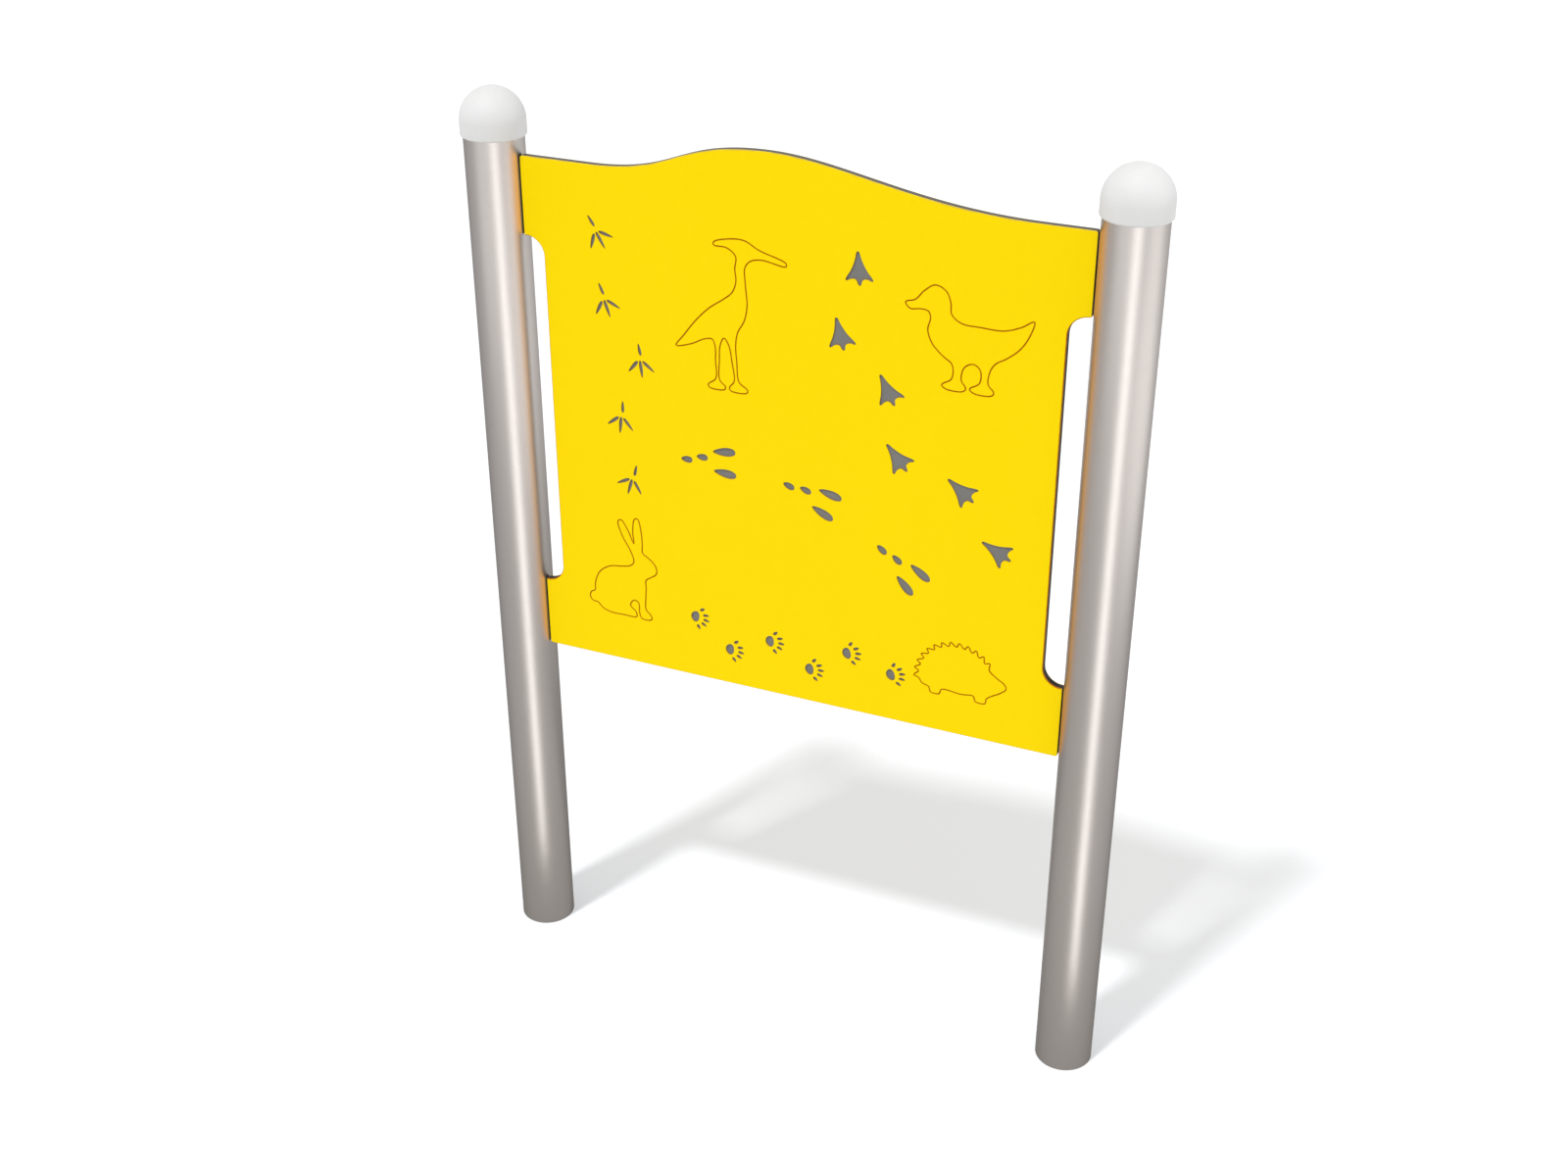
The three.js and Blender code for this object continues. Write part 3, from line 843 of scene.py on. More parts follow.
def build_recess_painted_shade(tree, given):
    patches = remapped(noise(tree, given["Patch Scale"], detail=3), 0.3, 0.7, thinnest_painted_shade, 1)
    return product(point_share(tree, "painted_shade_share"), patches)


recess_painted_shade = effect("recess_painted_shade", "Mask", build_recess_painted_shade, Patch_Scale=90.0)

# %% [markdown]
# ## Starting and completing a finish
#
# Every finish is a material with one Principled shader, whose constant values are set on its own
# sockets. What changes over the surface is wired in afterwards. Relief this fine could be real
# geometry only with millions of faces, so it goes through Bump nodes, whose distance is the real
# height of the relief in metres.

# %% Start a finish
def shader_inputs(tree, values):
    """Sets or wires the Principled shader's own sockets."""
    feed(tree.nodes["Principled BSDF"], values)


def new_finish(slot, **constants):
    """The node tree of a new material for one of the record's slots."""
    finish = finishes[slot] = bpy.data.materials.new(slot)
    finish.use_nodes = True
    shader_inputs(finish.node_tree, spaced(constants))
    return finish.node_tree


def colour(red, green, blue):
    """A colour as a screen shows it, from 0 to 255, in the linear values that shaders use."""
    shares = [value / 255 for value in (red, green, blue)]
    linear = [share / 12.92 if share <= 0.04045 else ((share + 0.055) / 1.055) ** 2.4 for share in shares]
    return (*linear, 1)


print("a screen grey of 128 is", round(colour(128, 128, 128)[0], 3), "in linear light")

# %% Mix a finish and complete it
def mixed(share, first, second):
    """A colour between two. A Mix node has sockets for every kind of value; these are the colours'."""
    return result(share.id_data, "Mix", {0: share, 6: first, 7: second}, 2, data_type="RGBA")


def tinted(base, mask, share, tint):
    """A base colour with a share of a tint where the mask is 1."""
    return mixed(product(mask, share), base, tint)


def ranging(mask, lowest, highest):
    """A value that goes from one number to another as the mask goes from 0 to 1."""
    return remapped(mask, 0, 1, lowest, highest)


def complete(tree, base, gloss, *relief):
    """Wires colour, roughness and the relief, whose layers of (height, depth in metres) add up."""
    normal = {}
    for height, depth in relief:
        layer = {"Strength": 1, "Distance": depth, "Height": height, **normal}
        normal = {"Normal": result(tree, "Bump", layer)}
    shader_inputs(tree, {"Base Color": base, "Roughness": gloss, **normal})
    print("finish:", list(finishes)[-1], "has", len(tree.nodes), "nodes and", len(relief), "layers of relief")


print("the shader's inputs that every finish wires: Base Color, Roughness and Normal")

# %% [markdown]
# ## Post steel
#
# The posts are drawn steel tube, ground to a soft satin. Seen close, fine rings run round the tube; from a
# few steps away they only widen the highlight up and down. The rings are a relief a few thousandths of a
# millimetre high, and an anisotropic shader with its tangent round the post does what is too fine for it. The
# steel's colour carries painted shade: it is painted brighter above and darker towards the ground. Splashed
# dust also dulls it slightly near the ground.

# %% Make the post steel
steel_painted_light_top = colour(160, 155, 152)
steel_painted_shade_foot = colour(150, 145, 142)
steel_splashed = colour(138, 133, 127)
steel_edge_tint = (0.45, 0.45, 0.45, 1)

tree = new_finish("post_steel", Metallic=1.0, Specular_Tint=steel_edge_tint, Anisotropic=0.4)
round_the_tube = result(tree, "Tangent", direction_type="RADIAL", axis="Z")
shader_inputs(tree, {"Tangent": round_the_tube})
rings = placed(tree, tool_marks, Stretch=(30.0, 30.0, 2600.0))
cloud = placed(tree, mottle, Broad_Scale=5.0, Fine_Scale=60.0)
scuffs = placed(tree, scratches, Stretch=(90.0, 90.0, 1500.0), Cut=0.68)
splash = placed(tree, ground_splash_and_shade, Reach=0.35, Break_Scale=26.0, Break_Height=0.08)
# Painted shade: this long mask paints the steel darker from the top down to the foot.
rise = placed(tree, ground_splash_and_shade, Reach=1.5, Break_Scale=3.0, Break_Height=0.06)
base = tinted(mixed(rise, steel_painted_light_top, steel_painted_shade_foot), splash, 0.35, steel_splashed)
base = tinted(base, cloud, 0.06, steel_splashed)
gloss = calc("ADD", ranging(rings, 0.34, 0.4), product(splash, 0.06))
gloss = calc("SUBTRACT", gloss, product(scuffs, 0.08))
complete(tree, base, gloss, (rings, 0.004 * mm), (scuffs, 0.01 * mm))

# %% [markdown]
# ## Zinc-coated steel
#
# Brackets, foot plates and blind nuts are pressed steel with a zinc coat. Zinc freezes in flat
# crystals, so the surface breaks into soft patches that each reflect a little differently. Plain
# noise has no such borders. Each cell of a Voronoi texture has one value of its own, as a crystal
# has, and where edges are rubbed the zinc is brighter.

# %% Make the zinc-coated steel
crystals_per_metre = 160
zinc_dull = colour(150, 152, 154)
zinc_bright = colour(182, 184, 186)
zinc_rubbed = colour(200, 201, 202)

tree = new_finish("zinc_steel", Metallic=1.0)
cells = {"Vector": result(tree, "TexCoord", key="Object"), "Scale": crystals_per_metre}
cell_values = along(result(tree, "TexVoronoi", cells, "Color"), "X")
cloud = placed(tree, mottle, Broad_Scale=12.0, Fine_Scale=220.0)
worn = placed(tree, edge_wear, Break_Scale=120.0, Broken_Share=0.5)
pebble = placed(tree, grain, Scale=2200.0)
crystal = calc("ADD", product(cell_values, 0.6), product(cloud, 0.4))
base = mixed(worn, mixed(crystal, zinc_dull, zinc_bright), zinc_rubbed)
complete(tree, base, ranging(crystal, 0.5, 0.36), (pebble, 0.006 * mm))

# %% [markdown]
# ## Stainless bolts
#
# The button heads are turned and tumbled, so they are brighter and smoother than what they hold
# down. A mirror would look like a toy's chrome. Faint tool marks in colour, gloss and relief, and
# a few scuffs from the key, make the metal of a used bolt.

# %% Make the bolt steel
bolt_dark = colour(186, 185, 183)
bolt_bright = colour(206, 205, 203)

tree = new_finish("bolt_steel", Metallic=1.0)
turning = placed(tree, tool_marks, Stretch=(1500.0, 1500.0, 1500.0))
scuffs = placed(tree, scratches, Stretch=(400.0, 2200.0, 400.0), Cut=0.64)
gloss = calc("ADD", ranging(turning, 0.24, 0.32), product(scuffs, 0.15))
base = mixed(turning, bolt_dark, bolt_bright)
complete(tree, base, gloss, (turning, 0.003 * mm), (scuffs, 0.008 * mm))

# %% [markdown]
# ## Brass inserts
#
# The threaded sleeves in the sheet are turned brass that has gone a little dull and brown. One
# golden colour would look new. A mottle mixes clean and tarnished brass, and because tarnish is
# duller too, the same mask drives the roughness.

# %% Make the brass
brass_clean = colour(206, 170, 96)
brass_brown = colour(164, 128, 70)

tree = new_finish("insert_brass", Metallic=1.0)
tarnish = placed(tree, mottle, Broad_Scale=80.0, Fine_Scale=600.0)
turning = placed(tree, tool_marks, Stretch=(300.0, 3000.0, 300.0))
base = mixed(tarnish, brass_clean, brass_brown)
complete(tree, base, ranging(tarnish, 0.32, 0.5), (turning, 0.006 * mm))

# %% [markdown]
# ## Cap plastic
#
# The caps are moulded in white plastic with a satin skin. Moulding leaves a fine, even grain, and
# outdoors the top gathers a trace of dust. Some light also enters such plastic, but on a wall so
# thick it hardly shows, so a plain opaque shader does. White on a white background reads only
# through its shading, so the colour stays clearly below full white.

# %% Make the cap plastic
cap_white = colour(222, 222, 222)
cap_dusty = colour(210, 208, 202)

tree = new_finish("cap_plastic", IOR=1.49)
skin_grain = placed(tree, grain, Scale=1500.0)
cloud = placed(tree, mottle, Broad_Scale=14.0, Fine_Scale=160.0)
dust = placed(tree, settled_dust, Start=0.55, Patch_Scale=70.0)
scuffs = placed(tree, scratches, Stretch=(160.0, 160.0, 1600.0), Cut=0.7)
base = tinted(tinted(cap_white, cloud, 0.12, cap_dusty), dust, 0.25, cap_dusty)
gloss = calc("ADD", ranging(skin_grain, 0.56, 0.64), product(dust, 0.1))
complete(tree, base, gloss, (skin_grain, 0.012 * mm), (scuffs, -0.02 * mm))

# %% [markdown]
# ## Yellow sheet
#
# The sheet is thick polyethylene, coloured right through, with a finely pebbled skin that is almost matte.
# Where a cutter has passed, its ridges show on the walls, and a rounded edge looks a touch duller where hands
# rub it. One flat yellow would look like printed card, so mottle and wear each shift it a little, and the
# cuts get painted shade. Polyethylene reflects little, so its gloss level is low.

# %% Make the yellow sheet
sheet_yellow = (1.0, 0.73, 0.0006, 1)
sheet_deep = (0.98, 0.7, 0.0006, 1)
sheet_rubbed = colour(206, 174, 58)
cut_painted_shade_brown = colour(192, 104, 6)

tree = new_finish("yellow_sheet", Specular_IOR_Level=0.05)
pebble = placed(tree, grain, Scale=900.0)
cloud = placed(tree, mottle, Broad_Scale=4.0, Fine_Scale=110.0)
worn = placed(tree, edge_wear, Break_Scale=40.0, Broken_Share=0.6)
scuffs = placed(tree, scratches, Stretch=(900.0, 40.0, 70.0), Cut=0.69)
ridges = placed(tree, tool_marks, Stretch=(2400.0, 20.0, 2400.0))
soil = placed(tree, recess_painted_shade, Patch_Scale=90.0)
base = tinted(tinted(sheet_yellow, cloud, 0.35, sheet_deep), worn, 0.8, sheet_rubbed)
# Painted shade: the walls and floors of the pockets, grooves and handholds are painted brown where they lie
# in shade.
base = mixed(soil, base, cut_painted_shade_brown)
gloss = calc("SUBTRACT", ranging(pebble, 0.5, 0.6), product(scuffs, 0.12))
complete(tree, base, gloss, (pebble, 0.02 * mm), (ridges, 0.006 * mm), (scuffs, -0.01 * mm))

# %% [markdown]
# ## Grey core
#
# The middle layer is the same plastic in grey. It shows only where the router has cut down to it and along
# the sheet's edges, so what is seen is always a milled surface: fine ridges, a slightly torn grain and no
# pebbled skin. Its edges get painted shade: faces that look sideways are painted darker than the pockets'
# floors, and the handholds nearly black. More finishes could say so, but the direction that a face looks in
# and the painted shade share of its points tell them apart in one.

# %% Make the grey core
core_grey = colour(126, 125, 122)
core_torn = colour(112, 111, 108)
core_dusty = colour(150, 146, 136)
core_side_painted_shade = colour(96, 92, 86)
handhold_painted_shade_black = colour(30, 24, 16)

tree = new_finish("grey_core", Specular_IOR_Level=0.2)
ridges = placed(tree, tool_marks, Stretch=(1900.0, 25.0, 1900.0))
torn = placed(tree, mottle, Broad_Scale=30.0, Fine_Scale=900.0)
dust = placed(tree, settled_dust, Start=0.4, Patch_Scale=60.0)
core_painted_shade = placed(tree, recess_painted_shade, Patch_Scale=60.0)
# Painted shade: faces that look sideways get a darker grey, and the handholds a nearly black one.
wall = remapped(calc("ABSOLUTE", facing(tree, "Y")), 0.5, 0.8, 1, 0)
base = tinted(tinted(core_grey, torn, 0.5, core_torn), dust, 0.2, core_dusty)
base = mixed(core_painted_shade, mixed(wall, base, core_side_painted_shade), handhold_painted_shade_black)
complete(tree, base, ranging(ridges, 0.55, 0.68), (ridges, 0.03 * mm))

# %% [markdown]
# ## Posts
#
# Each post is one length of steel tube, cut square, with the sharp corners of its ends broken. A
# plain cylinder has neither a wall nor such corners, so the tube is turned from its own profile,
# a long thin rectangle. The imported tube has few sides; here it has enough to stay round in every
# view. On its rear inner side it is drilled for the blind nuts behind each bracket. The drill is
# a boolean, and rings above and below the holes keep its extra edges under the bracket's saddle.

# %% Set out the holes and draw the tube's profile
bracket_rise_low = 62 * mm
bracket_drop_high = 77 * mm
bolt_pitch = 34 * mm
post_wall = 2 * mm
post_end_break = 0.4 * mm
saddle_cover = 27 * mm

bracket_heights = {"lower": panel_foot + bracket_rise_low, "upper": shoulder_z - bracket_drop_high}


def above_and_below(distance):
    """Heights on both sides of each bracket's middle."""
    return [height + side * distance for height in bracket_heights.values() for side in (-1, 1)]


def tube_profile():
    inner, cut = post_radius - post_wall, post_end_break
    stops = above_and_below(saddle_cover)
    foot = [(inner + cut, 0), (post_radius - cut, 0), (post_radius, cut)]
    head = [(post_radius, post_top - cut), (post_radius - cut, post_top), (inner + cut, post_top)]
    inside = [(inner, height) for height in (post_top - cut, *reversed(stops), cut)]
    return foot + [(post_radius, height) for height in stops] + head + inside


bolt_heights = above_and_below(bolt_pitch / 2)
print("each post has holes at", [round(height, 4) for height in bolt_heights])

# %% Work other meshes into a piece
def combined(piece, operation, others):
    """Cuts or joins by booleans, keeps the result as a plain mesh and deletes the others."""
    bpy.context.view_layer.update()
    before = len(piece.data.polygons)
    for other in others:
        step = piece.modifiers.new(operation.lower(), "BOOLEAN")
        step.operation = operation
        step.solver = "EXACT"
        step.object = other
    shaped = bpy.data.meshes.new_from_object(piece.evaluated_get(bpy.context.evaluated_depsgraph_get()))
    piece.modifiers.clear()
    piece.data = shaped
    for other in others:
        bpy.data.objects.remove(other)
    print(f"{piece.name}: {before} faces, {len(shaped.polygons)} after {len(others)} booleans")


print("booleans are worked out with the exact solver and kept as plain meshes")

# %% Turn and drill the posts
post_sides = 128
post_bolt_turn = math.radians(48)
nut_hole_radius = 5.8 * mm
drill_reach = 12 * mm
drill_sides = 32

drill_profile = [(radius, height * drill_reach) for radius, height in
                 ((0, -1), (nut_hole_radius, -1), (nut_hole_radius, 1), (0, 1))]
drill_bit = turned(drill_profile, drill_sides, False)
to_outside = Matrix.Rotation(quarter_turn, 4, "Y")
for side_name, side in sides.items():
    axis = Matrix.Translation((side * post_x, 0, 0))
    post = add_piece(f"turned_post_{side_name}", f"post_{side_name}",
                     turned(tube_profile(), post_sides, True), "post_steel", axis)
    outward = Matrix.Rotation(post_bolt_turn if side < 0 else math.pi - post_bolt_turn, 4, "Z")
    spots = [outward @ Matrix.Translation((post_radius, 0, height)) for height in bolt_heights]
    bits = [mesh_object("drill_bit", **drill_bit, place=axis @ spot @ to_outside) for spot in spots]
    combined(post, "DIFFERENCE", bits)
    lit_by_boards[side_name].objects.link(post)

# %% [markdown]
# ## Caps
#
# A cap is one plastic moulding that slips over the tube: a half ball on a short skirt, hollow,
# with ribs inside that stop on the tube's end. A ball primitive would be solid and would meet the
# tube in a hard line. The shell is a turned profile with its rounded rim and its thin wall. The
# ribs are small blocks sunk into that wall and joined to it, so that the cap is one closed body.

# %% Draw the cap's profile
seat_gap = 0.3 * mm
cap_overlap = post_top - cap_rim
cap_rim_round = 3.5 * mm
cap_lip_break = 0.5 * mm
dome_steps = 30
rim_steps = 8


def cap_profile():
    bore = post_radius + seat_gap
    rise = cap_top - cap_radius - cap_rim
    stop_drop = rise - cap_overlap
    ceiling = math.hypot(bore, stop_drop)
    rim = arc((cap_radius - cap_rim_round, cap_rim_round), cap_rim_round, -quarter_turn, 0, rim_steps)
    dome = arc((0, rise), cap_radius, 0, quarter_turn, dome_steps)
    hollow = arc((0, rise), ceiling, quarter_turn, -math.asin(stop_drop / ceiling), dome_steps)
    lip = [(bore, cap_lip_break), (bore + cap_lip_break, 0)]
    return [(abs(radius), height) for radius, height in [*rim, *dome, *hollow, *lip]]


print("the cap covers", round(cap_overlap / mm, 1), "mm of the tube")

# %% Mould the caps
cap_rib_count = 8
cap_rib_thickness = 2.5 * mm
cap_rib_height = 16 * mm
cap_rib_reach = 8 * mm
cap_rib_sunk = 1.5 * mm


def cap_rib():
    outer = post_radius + seat_gap + cap_rib_sunk
    half = cap_rib_thickness / 2
    corners = [(x, y, z) for x in (post_radius - cap_rib_reach, outer) for y in (-half, half)
               for z in (cap_overlap, cap_overlap + cap_rib_height)]
    faces = [(0, 1, 3, 2), (4, 6, 7, 5), (0, 4, 5, 1), (2, 3, 7, 6), (0, 2, 6, 4), (1, 5, 7, 3)]
    return {"vertices": corners, "faces": faces}


rib_turns = [Matrix.Rotation(full_turn * (i + 0.5) / cap_rib_count, 4, "Z") for i in range(cap_rib_count)]
for side_name, side in sides.items():
    spot = Matrix.Translation((side * post_x, 0, cap_rim))
    cap = add_piece(f"domed_cap_{side_name}", f"cap_{side_name}",
                    turned(cap_profile(), post_sides, True), "cap_plastic", spot)
    combined(cap, "UNION", [mesh_object("cap_rib", **cap_rib(), place=spot @ turn) for turn in rib_turns])

# %% [markdown]
# ## The sheet's outline
#
# The sheet is cut from a flat blank by a router. Its foot and sides are straight, its top is a
# wave with the crest left of the middle, and each side has a tall handhold whose ends are quarter
# rounds. A cube with a few bevels can't hold a wave. So the outline is drawn, arcs for the sides
# and two smooth curves that meet level at the crest, and is used for all three layers.

# %% Draw the sheet's sides
panel_corner_round = 4 * mm
notch_mouth_round = 2 * mm
corner_steps, mouth_steps, deep_steps = 8, 6, 24


def sheet_side():
    """The right-hand side, from the foot up."""
    corner, mouth, quarter = panel_corner_round, notch_mouth_round, quarter_turn
    deep = notch_depth - mouth
    corner_x, mouth_x = panel_half_width - corner, panel_half_width - mouth
    deep_x = panel_half_width - notch_depth + deep
    return np.vstack((
        arc((corner_x, panel_foot + corner), corner, -quarter, 0, corner_steps),
        arc((mouth_x, notch_low - mouth), mouth, 0, quarter, mouth_steps),
        arc((deep_x, notch_low + deep), deep, -quarter, -2 * quarter, deep_steps)[1:],
        arc((deep_x, notch_high - deep), deep, 2 * quarter, quarter, deep_steps),
        arc((mouth_x, notch_high + mouth), mouth, -quarter, 0, mouth_steps)[1:],
        arc((corner_x, shoulder_z - corner), corner, 0, quarter, corner_steps),
    ))


right_side = sheet_side()
left_side = (right_side * (-1, 1))[::-1]
print("each side of the sheet has", len(right_side), "points")

# %% Draw the wave and close the outline
crest_x = -47 * mm
crest_left_run = 313 * mm
crest_right_run = 447 * mm
left_handle_share = 0.51
crest_right_handle_share = 0.28
shoulder_right_handle_share = 0.457
wave_steps = 90

right, crest, left = np.array(((crest_x + crest_right_run, shoulder_z), (crest_x, panel_crest),
                               (crest_x - crest_left_run, shoulder_z)))
across = np.array((1.0, 0.0))
right_slope = bezier(right, right - across * shoulder_right_handle_share * crest_right_run,
                     crest + across * crest_right_handle_share * crest_right_run, crest, wave_steps)
left_slope = bezier(crest, crest - across * left_handle_share * crest_left_run,
                    left + across * left_handle_share * crest_left_run, left, wave_steps)
sheet_outline = np.vstack((right_side, right_slope, left_slope[1:], left_side))
print("the sheet's outline has", len(sheet_outline), "points")

# %% [markdown]
# ## Tracks
#
# Four trails of prints cross the sheet, each beside the animal that left it: a wading bird, a
# duck, a hare and a hedgehog. A router clears each print as a pocket down to the grey core. A
# painted mask would be quicker, but it would have no depth to catch the light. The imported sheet
# has the same prints with few points; here every toe is a smooth oval.

# %% List the trails and the prints
Trail = namedtuple("Trail", "kind count length aside start end bow")

trails = [
    Trail("long_toed", 5, 60 * mm, 20 * mm, (-0.38, 0.87), (-0.33, 0.41), 0.22),
    Trail("webbed", 6, 54 * mm, 24 * mm, (0.09, 0.88), (0.38, 0.42), -0.28),
    Trail("bounding", 3, 104 * mm, 0, (-0.16, 0.47), (0.2, 0.33), 0.2),
    Trail("clawed", 6, 44 * mm, 20 * mm, (-0.19, 0.11), (0.19, 0.12), -0.12),
]
# Each toe or pad: its centre ahead and aside, its length and width, the way it points in degrees,
# and how much fuller its rear end is; all but the last two are shares of the print's length
print_marks = {
    "long_toed": [
        (0.3, 0, 0.52, 0.1, 0, 0.35), (0.22, 0.24, 0.46, 0.1, 46, 0.35),
        (0.22, -0.24, 0.46, 0.1, -46, 0.35), (-0.28, 0.03, 0.36, 0.09, 184, 0.35),
    ],
    "bounding": [
        (0.3, 0.19, 0.4, 0.15, 6, -0.3), (0.3, -0.19, 0.4, 0.15, -6, -0.3),
        (-0.1, 0.04, 0.2, 0.12, 0, -0.2), (-0.38, -0.04, 0.2, 0.12, 0, -0.2),
    ],
    "clawed": [
        (-0.14, 0, 0.36, 0.5, 0, -0.15), (0.1, 0.42, 0.24, 0.13, 48, 0.25),
        (0.3, 0.22, 0.26, 0.13, 20, 0.25), (0.36, 0, 0.27, 0.13, 0, 0.25),
        (0.3, -0.22, 0.26, 0.13, -20, 0.25), (0.1, -0.42, 0.24, 0.13, -48, 0.25),
    ],
}
webbed_half = [(-0.5, 0), (-0.47, 0.05), (-0.24, 0.1), (0.08, 0.24), (0.34, 0.44), (0.42, 0.42),
               (0.33, 0.24), (0.36, 0.09), (0.52, 0.05), (0.55, 0)]
print("prints to draw:", sum(trail.count for trail in trails))

# %% Draw one print
mark_steps = 36
web_rounding = 3


def turned_flat(points, angle):
    cosine, sine = math.cos(angle), math.sin(angle)
    return points @ np.array(((cosine, sine), (-sine, cosine)))


def oval_mark(length, ahead, aside, long_share, wide_share, degrees, fullness):
    angle = np.linspace(0, full_turn, mark_steps, endpoint=False)
    along_it = long_share * length * np.cos(angle) / 2
    across_it = wide_share * length * np.sin(angle) * (1 - fullness * np.cos(angle)) / 2
    mark = turned_flat(np.column_stack((along_it, across_it)), math.radians(degrees))
    return mark + (ahead * length, aside * length)


def print_lines(trail):
    if trail.kind == "webbed":
        half = np.array(webbed_half)
        return [corners_cut(np.vstack((half, (half[1:-1] * (1, -1))[::-1])) * trail.length, web_rounding)]
    return [oval_mark(trail.length, *mark) for mark in print_marks[trail.kind]]


print("toes and pads in a print:", {trail.kind: len(print_lines(trail)) for trail in trails})

# %% Lay the prints along the trails
trail_steps = 400


def on_sheet(share):
    """A place given in shares of the sheet: across from its middle, up from its foot."""
    return np.array((share[0] * 2 * panel_half_width, panel_foot + share[1] * (shoulder_z - panel_foot)))


def trail_lines(trail):
    """Prints at even steps along a bowed line, on alternate sides of it."""
    start, end = on_sheet(trail.start), on_sheet(trail.end)
    run = end - start
    middle = (start + end) / 2 + np.array((-run[1], run[0])) * trail.bow

    def bowed(share):
        return (1 - share)**2 * start + 2 * (1 - share) * share * middle + share**2 * end

    shares = np.linspace(0, 1, trail_steps + 1)
    covered = run_along(bowed(shares[:, None]))
    lines = []
    for i in range(trail.count):
        stop = float(np.interp(covered[-1] * i / (trail.count - 1), covered, shares))
        ahead = 2 * (1 - stop) * (middle - start) + 2 * stop * (end - middle)
        ahead = ahead / np.linalg.norm(ahead)
        centre = bowed(stop) + np.array((-ahead[1], ahead[0])) * trail.aside * (-1)**i
        lines += [turned_flat(line, math.atan2(ahead[1], ahead[0])) + centre for line in print_lines(trail)]
    return lines


pocket_lines = [clockwise(line) for trail in trails for line in trail_lines(trail)]
print("the router clears", len(pocket_lines), "pockets")

# %% [markdown]
# ## Animals
#
# Each animal is one closed groove, as wide as the cutter that runs round it once. It could be a
# curve object with a round bevel cut out of the sheet, but a boolean with so thin a shape often
# fails. Here its outline is a short list of points in a plain drawing of its own, with the feet
# at zero height. A smooth curve joins them, and the groove's two walls are that curve moved to
# each side.

# %% Draw the animals
heron = [(107, 134), (80, 143), (66, 150), (52, 150), (35, 145), (35, 142), (48, 141), (57, 134), (56, 122),
         (57, 110), (53, 99), (44, 91), (30, 81), (16, 67), (2, 49), (-6, 38), (10, 42), (24, 49),
         (32, 50), (35, 42), (35, 30), (35, 11), (27, 4), (28, 1), (44, 1), (45, 4), (39, 10), (39, 30),
         (40, 45), (44, 53), (49, 46), (52, 30), (54, 11), (49, 4), (50, 1), (67, 1), (68, 4),
         (59, 11), (57, 30), (56, 47), (58, 60), (65, 73), (68, 88), (67, 102), (66, 114), (66, 124),
         (71, 131), (82, 134), (107, 131)]
duck = [(-2, 71), (6, 74), (13, 82), (22, 88), (31, 84), (35, 75), (36, 66), (44, 60), (60, 59),
        (78, 59), (92, 64), (102, 70), (99, 58), (92, 46), (82, 37), (73, 31), (69, 24), (68, 13),
        (73, 7), (71, 4), (56, 4), (53, 7), (61, 13), (61, 24), (55, 28), (48, 24), (46, 13), (50, 7),
        (48, 4), (33, 4), (30, 7), (38, 13), (38, 25), (30, 31), (21, 40), (17, 51), (19, 61), (17, 66),
        (10, 67), (2, 66)]
hare = [(92, 70), (90, 64), (83, 59), (77, 54), (77, 44), (76, 30), (76, 14), (82, 8), (83, 2),
        (70, 1), (67, 8), (66, 22), (60, 24), (55, 16), (62, 9), (63, 2), (46, 1), (28, 1), (17, 5),
        (11, 11), (4, 12), (1, 18), (3, 24), (8, 27), (9, 38), (16, 54), (30, 64), (46, 67), (57, 70),
        (62, 76), (58, 90), (48, 108), (43, 126), (47, 129), (55, 118), (63, 100), (62, 116),
        (65, 133), (69, 134), (73, 118), (74, 102), (74, 90), (81, 85), (89, 78)]
hedgehog_face = [(101, 20), (99, 25), (90, 31)]
hedgehog_feet = [(8, 6), (16, 3), (18, -3), (28, -3), (30, 3), (52, 2), (66, 3), (68, -3), (79, -3),
                 (80, 3), (86, 8), (94, 13)]
spine_count = 27
spine_reaches, spine_leans = (1.0, 1.13), (0, 0.05)
back_x, back_y, back_radius = 46, 16, 42
fan_start, fan_end = math.radians(32), math.radians(186)

# A fan of spines over a round back: every other point is further out and leans
spines = []
for i, turn in enumerate(np.linspace(fan_start, fan_end, spine_count)):
    reach, turn = back_radius * spine_reaches[i % 2], turn + spine_leans[i % 2]
    spines.append((back_x + reach * math.cos(turn), back_y + reach * math.sin(turn)))
# Each drawing with the place of its corner on the sheet and its scale
animals = [
    (heron, (-0.205, 0.615), 1.75 * mm),
    (duck, (0.2, 0.68), 2.0 * mm),
    (hare, (-0.41, 0.1), 1.5 * mm),
    (hedgehog_face + spines + hedgehog_feet, (0.235, 0.085), 1.6 * mm),
]
print("points in each drawing:", [len(points) for points, _, _ in animals])

# %% Join points with a smooth curve
def smooth_closed(points, steps):
    """A curve through every point, whose pace follows the points' distances so that it never loops."""
    points = np.array(points, float)
    found = []
    for i in range(len(points)):
        four = [points[(i + k) % len(points)] for k in (-1, 0, 1, 2)]
        knots = np.cumsum([0] + [np.linalg.norm(b - a)**0.5 for a, b in zip(four, four[1:])])
        t = np.linspace(knots[1], knots[2], steps, endpoint=False)[:, None]

        def between(first, second, low, high):
            low, high = knots[low], knots[high]
            return (high - t) / (high - low) * first + (t - low) / (high - low) * second

        near, middle, far = (between(four[k], four[k + 1], k, k + 1) for k in range(3))
        found.append(between(between(near, middle, 0, 2), between(middle, far, 1, 3), 1, 2))
    return np.vstack(found)


square = [(0, 0), (1, 0), (1, 1), (0, 1)]
print("a curve through a unit square's corners covers", round(signed_area(smooth_closed(square, 10)), 2))

# %% Turn each drawing into a groove
groove_width = 2.2 * mm
groove_spacing = 1.0 * mm
curve_steps = 10
groove_smoothing = 5
wall_keep_share = 0.98


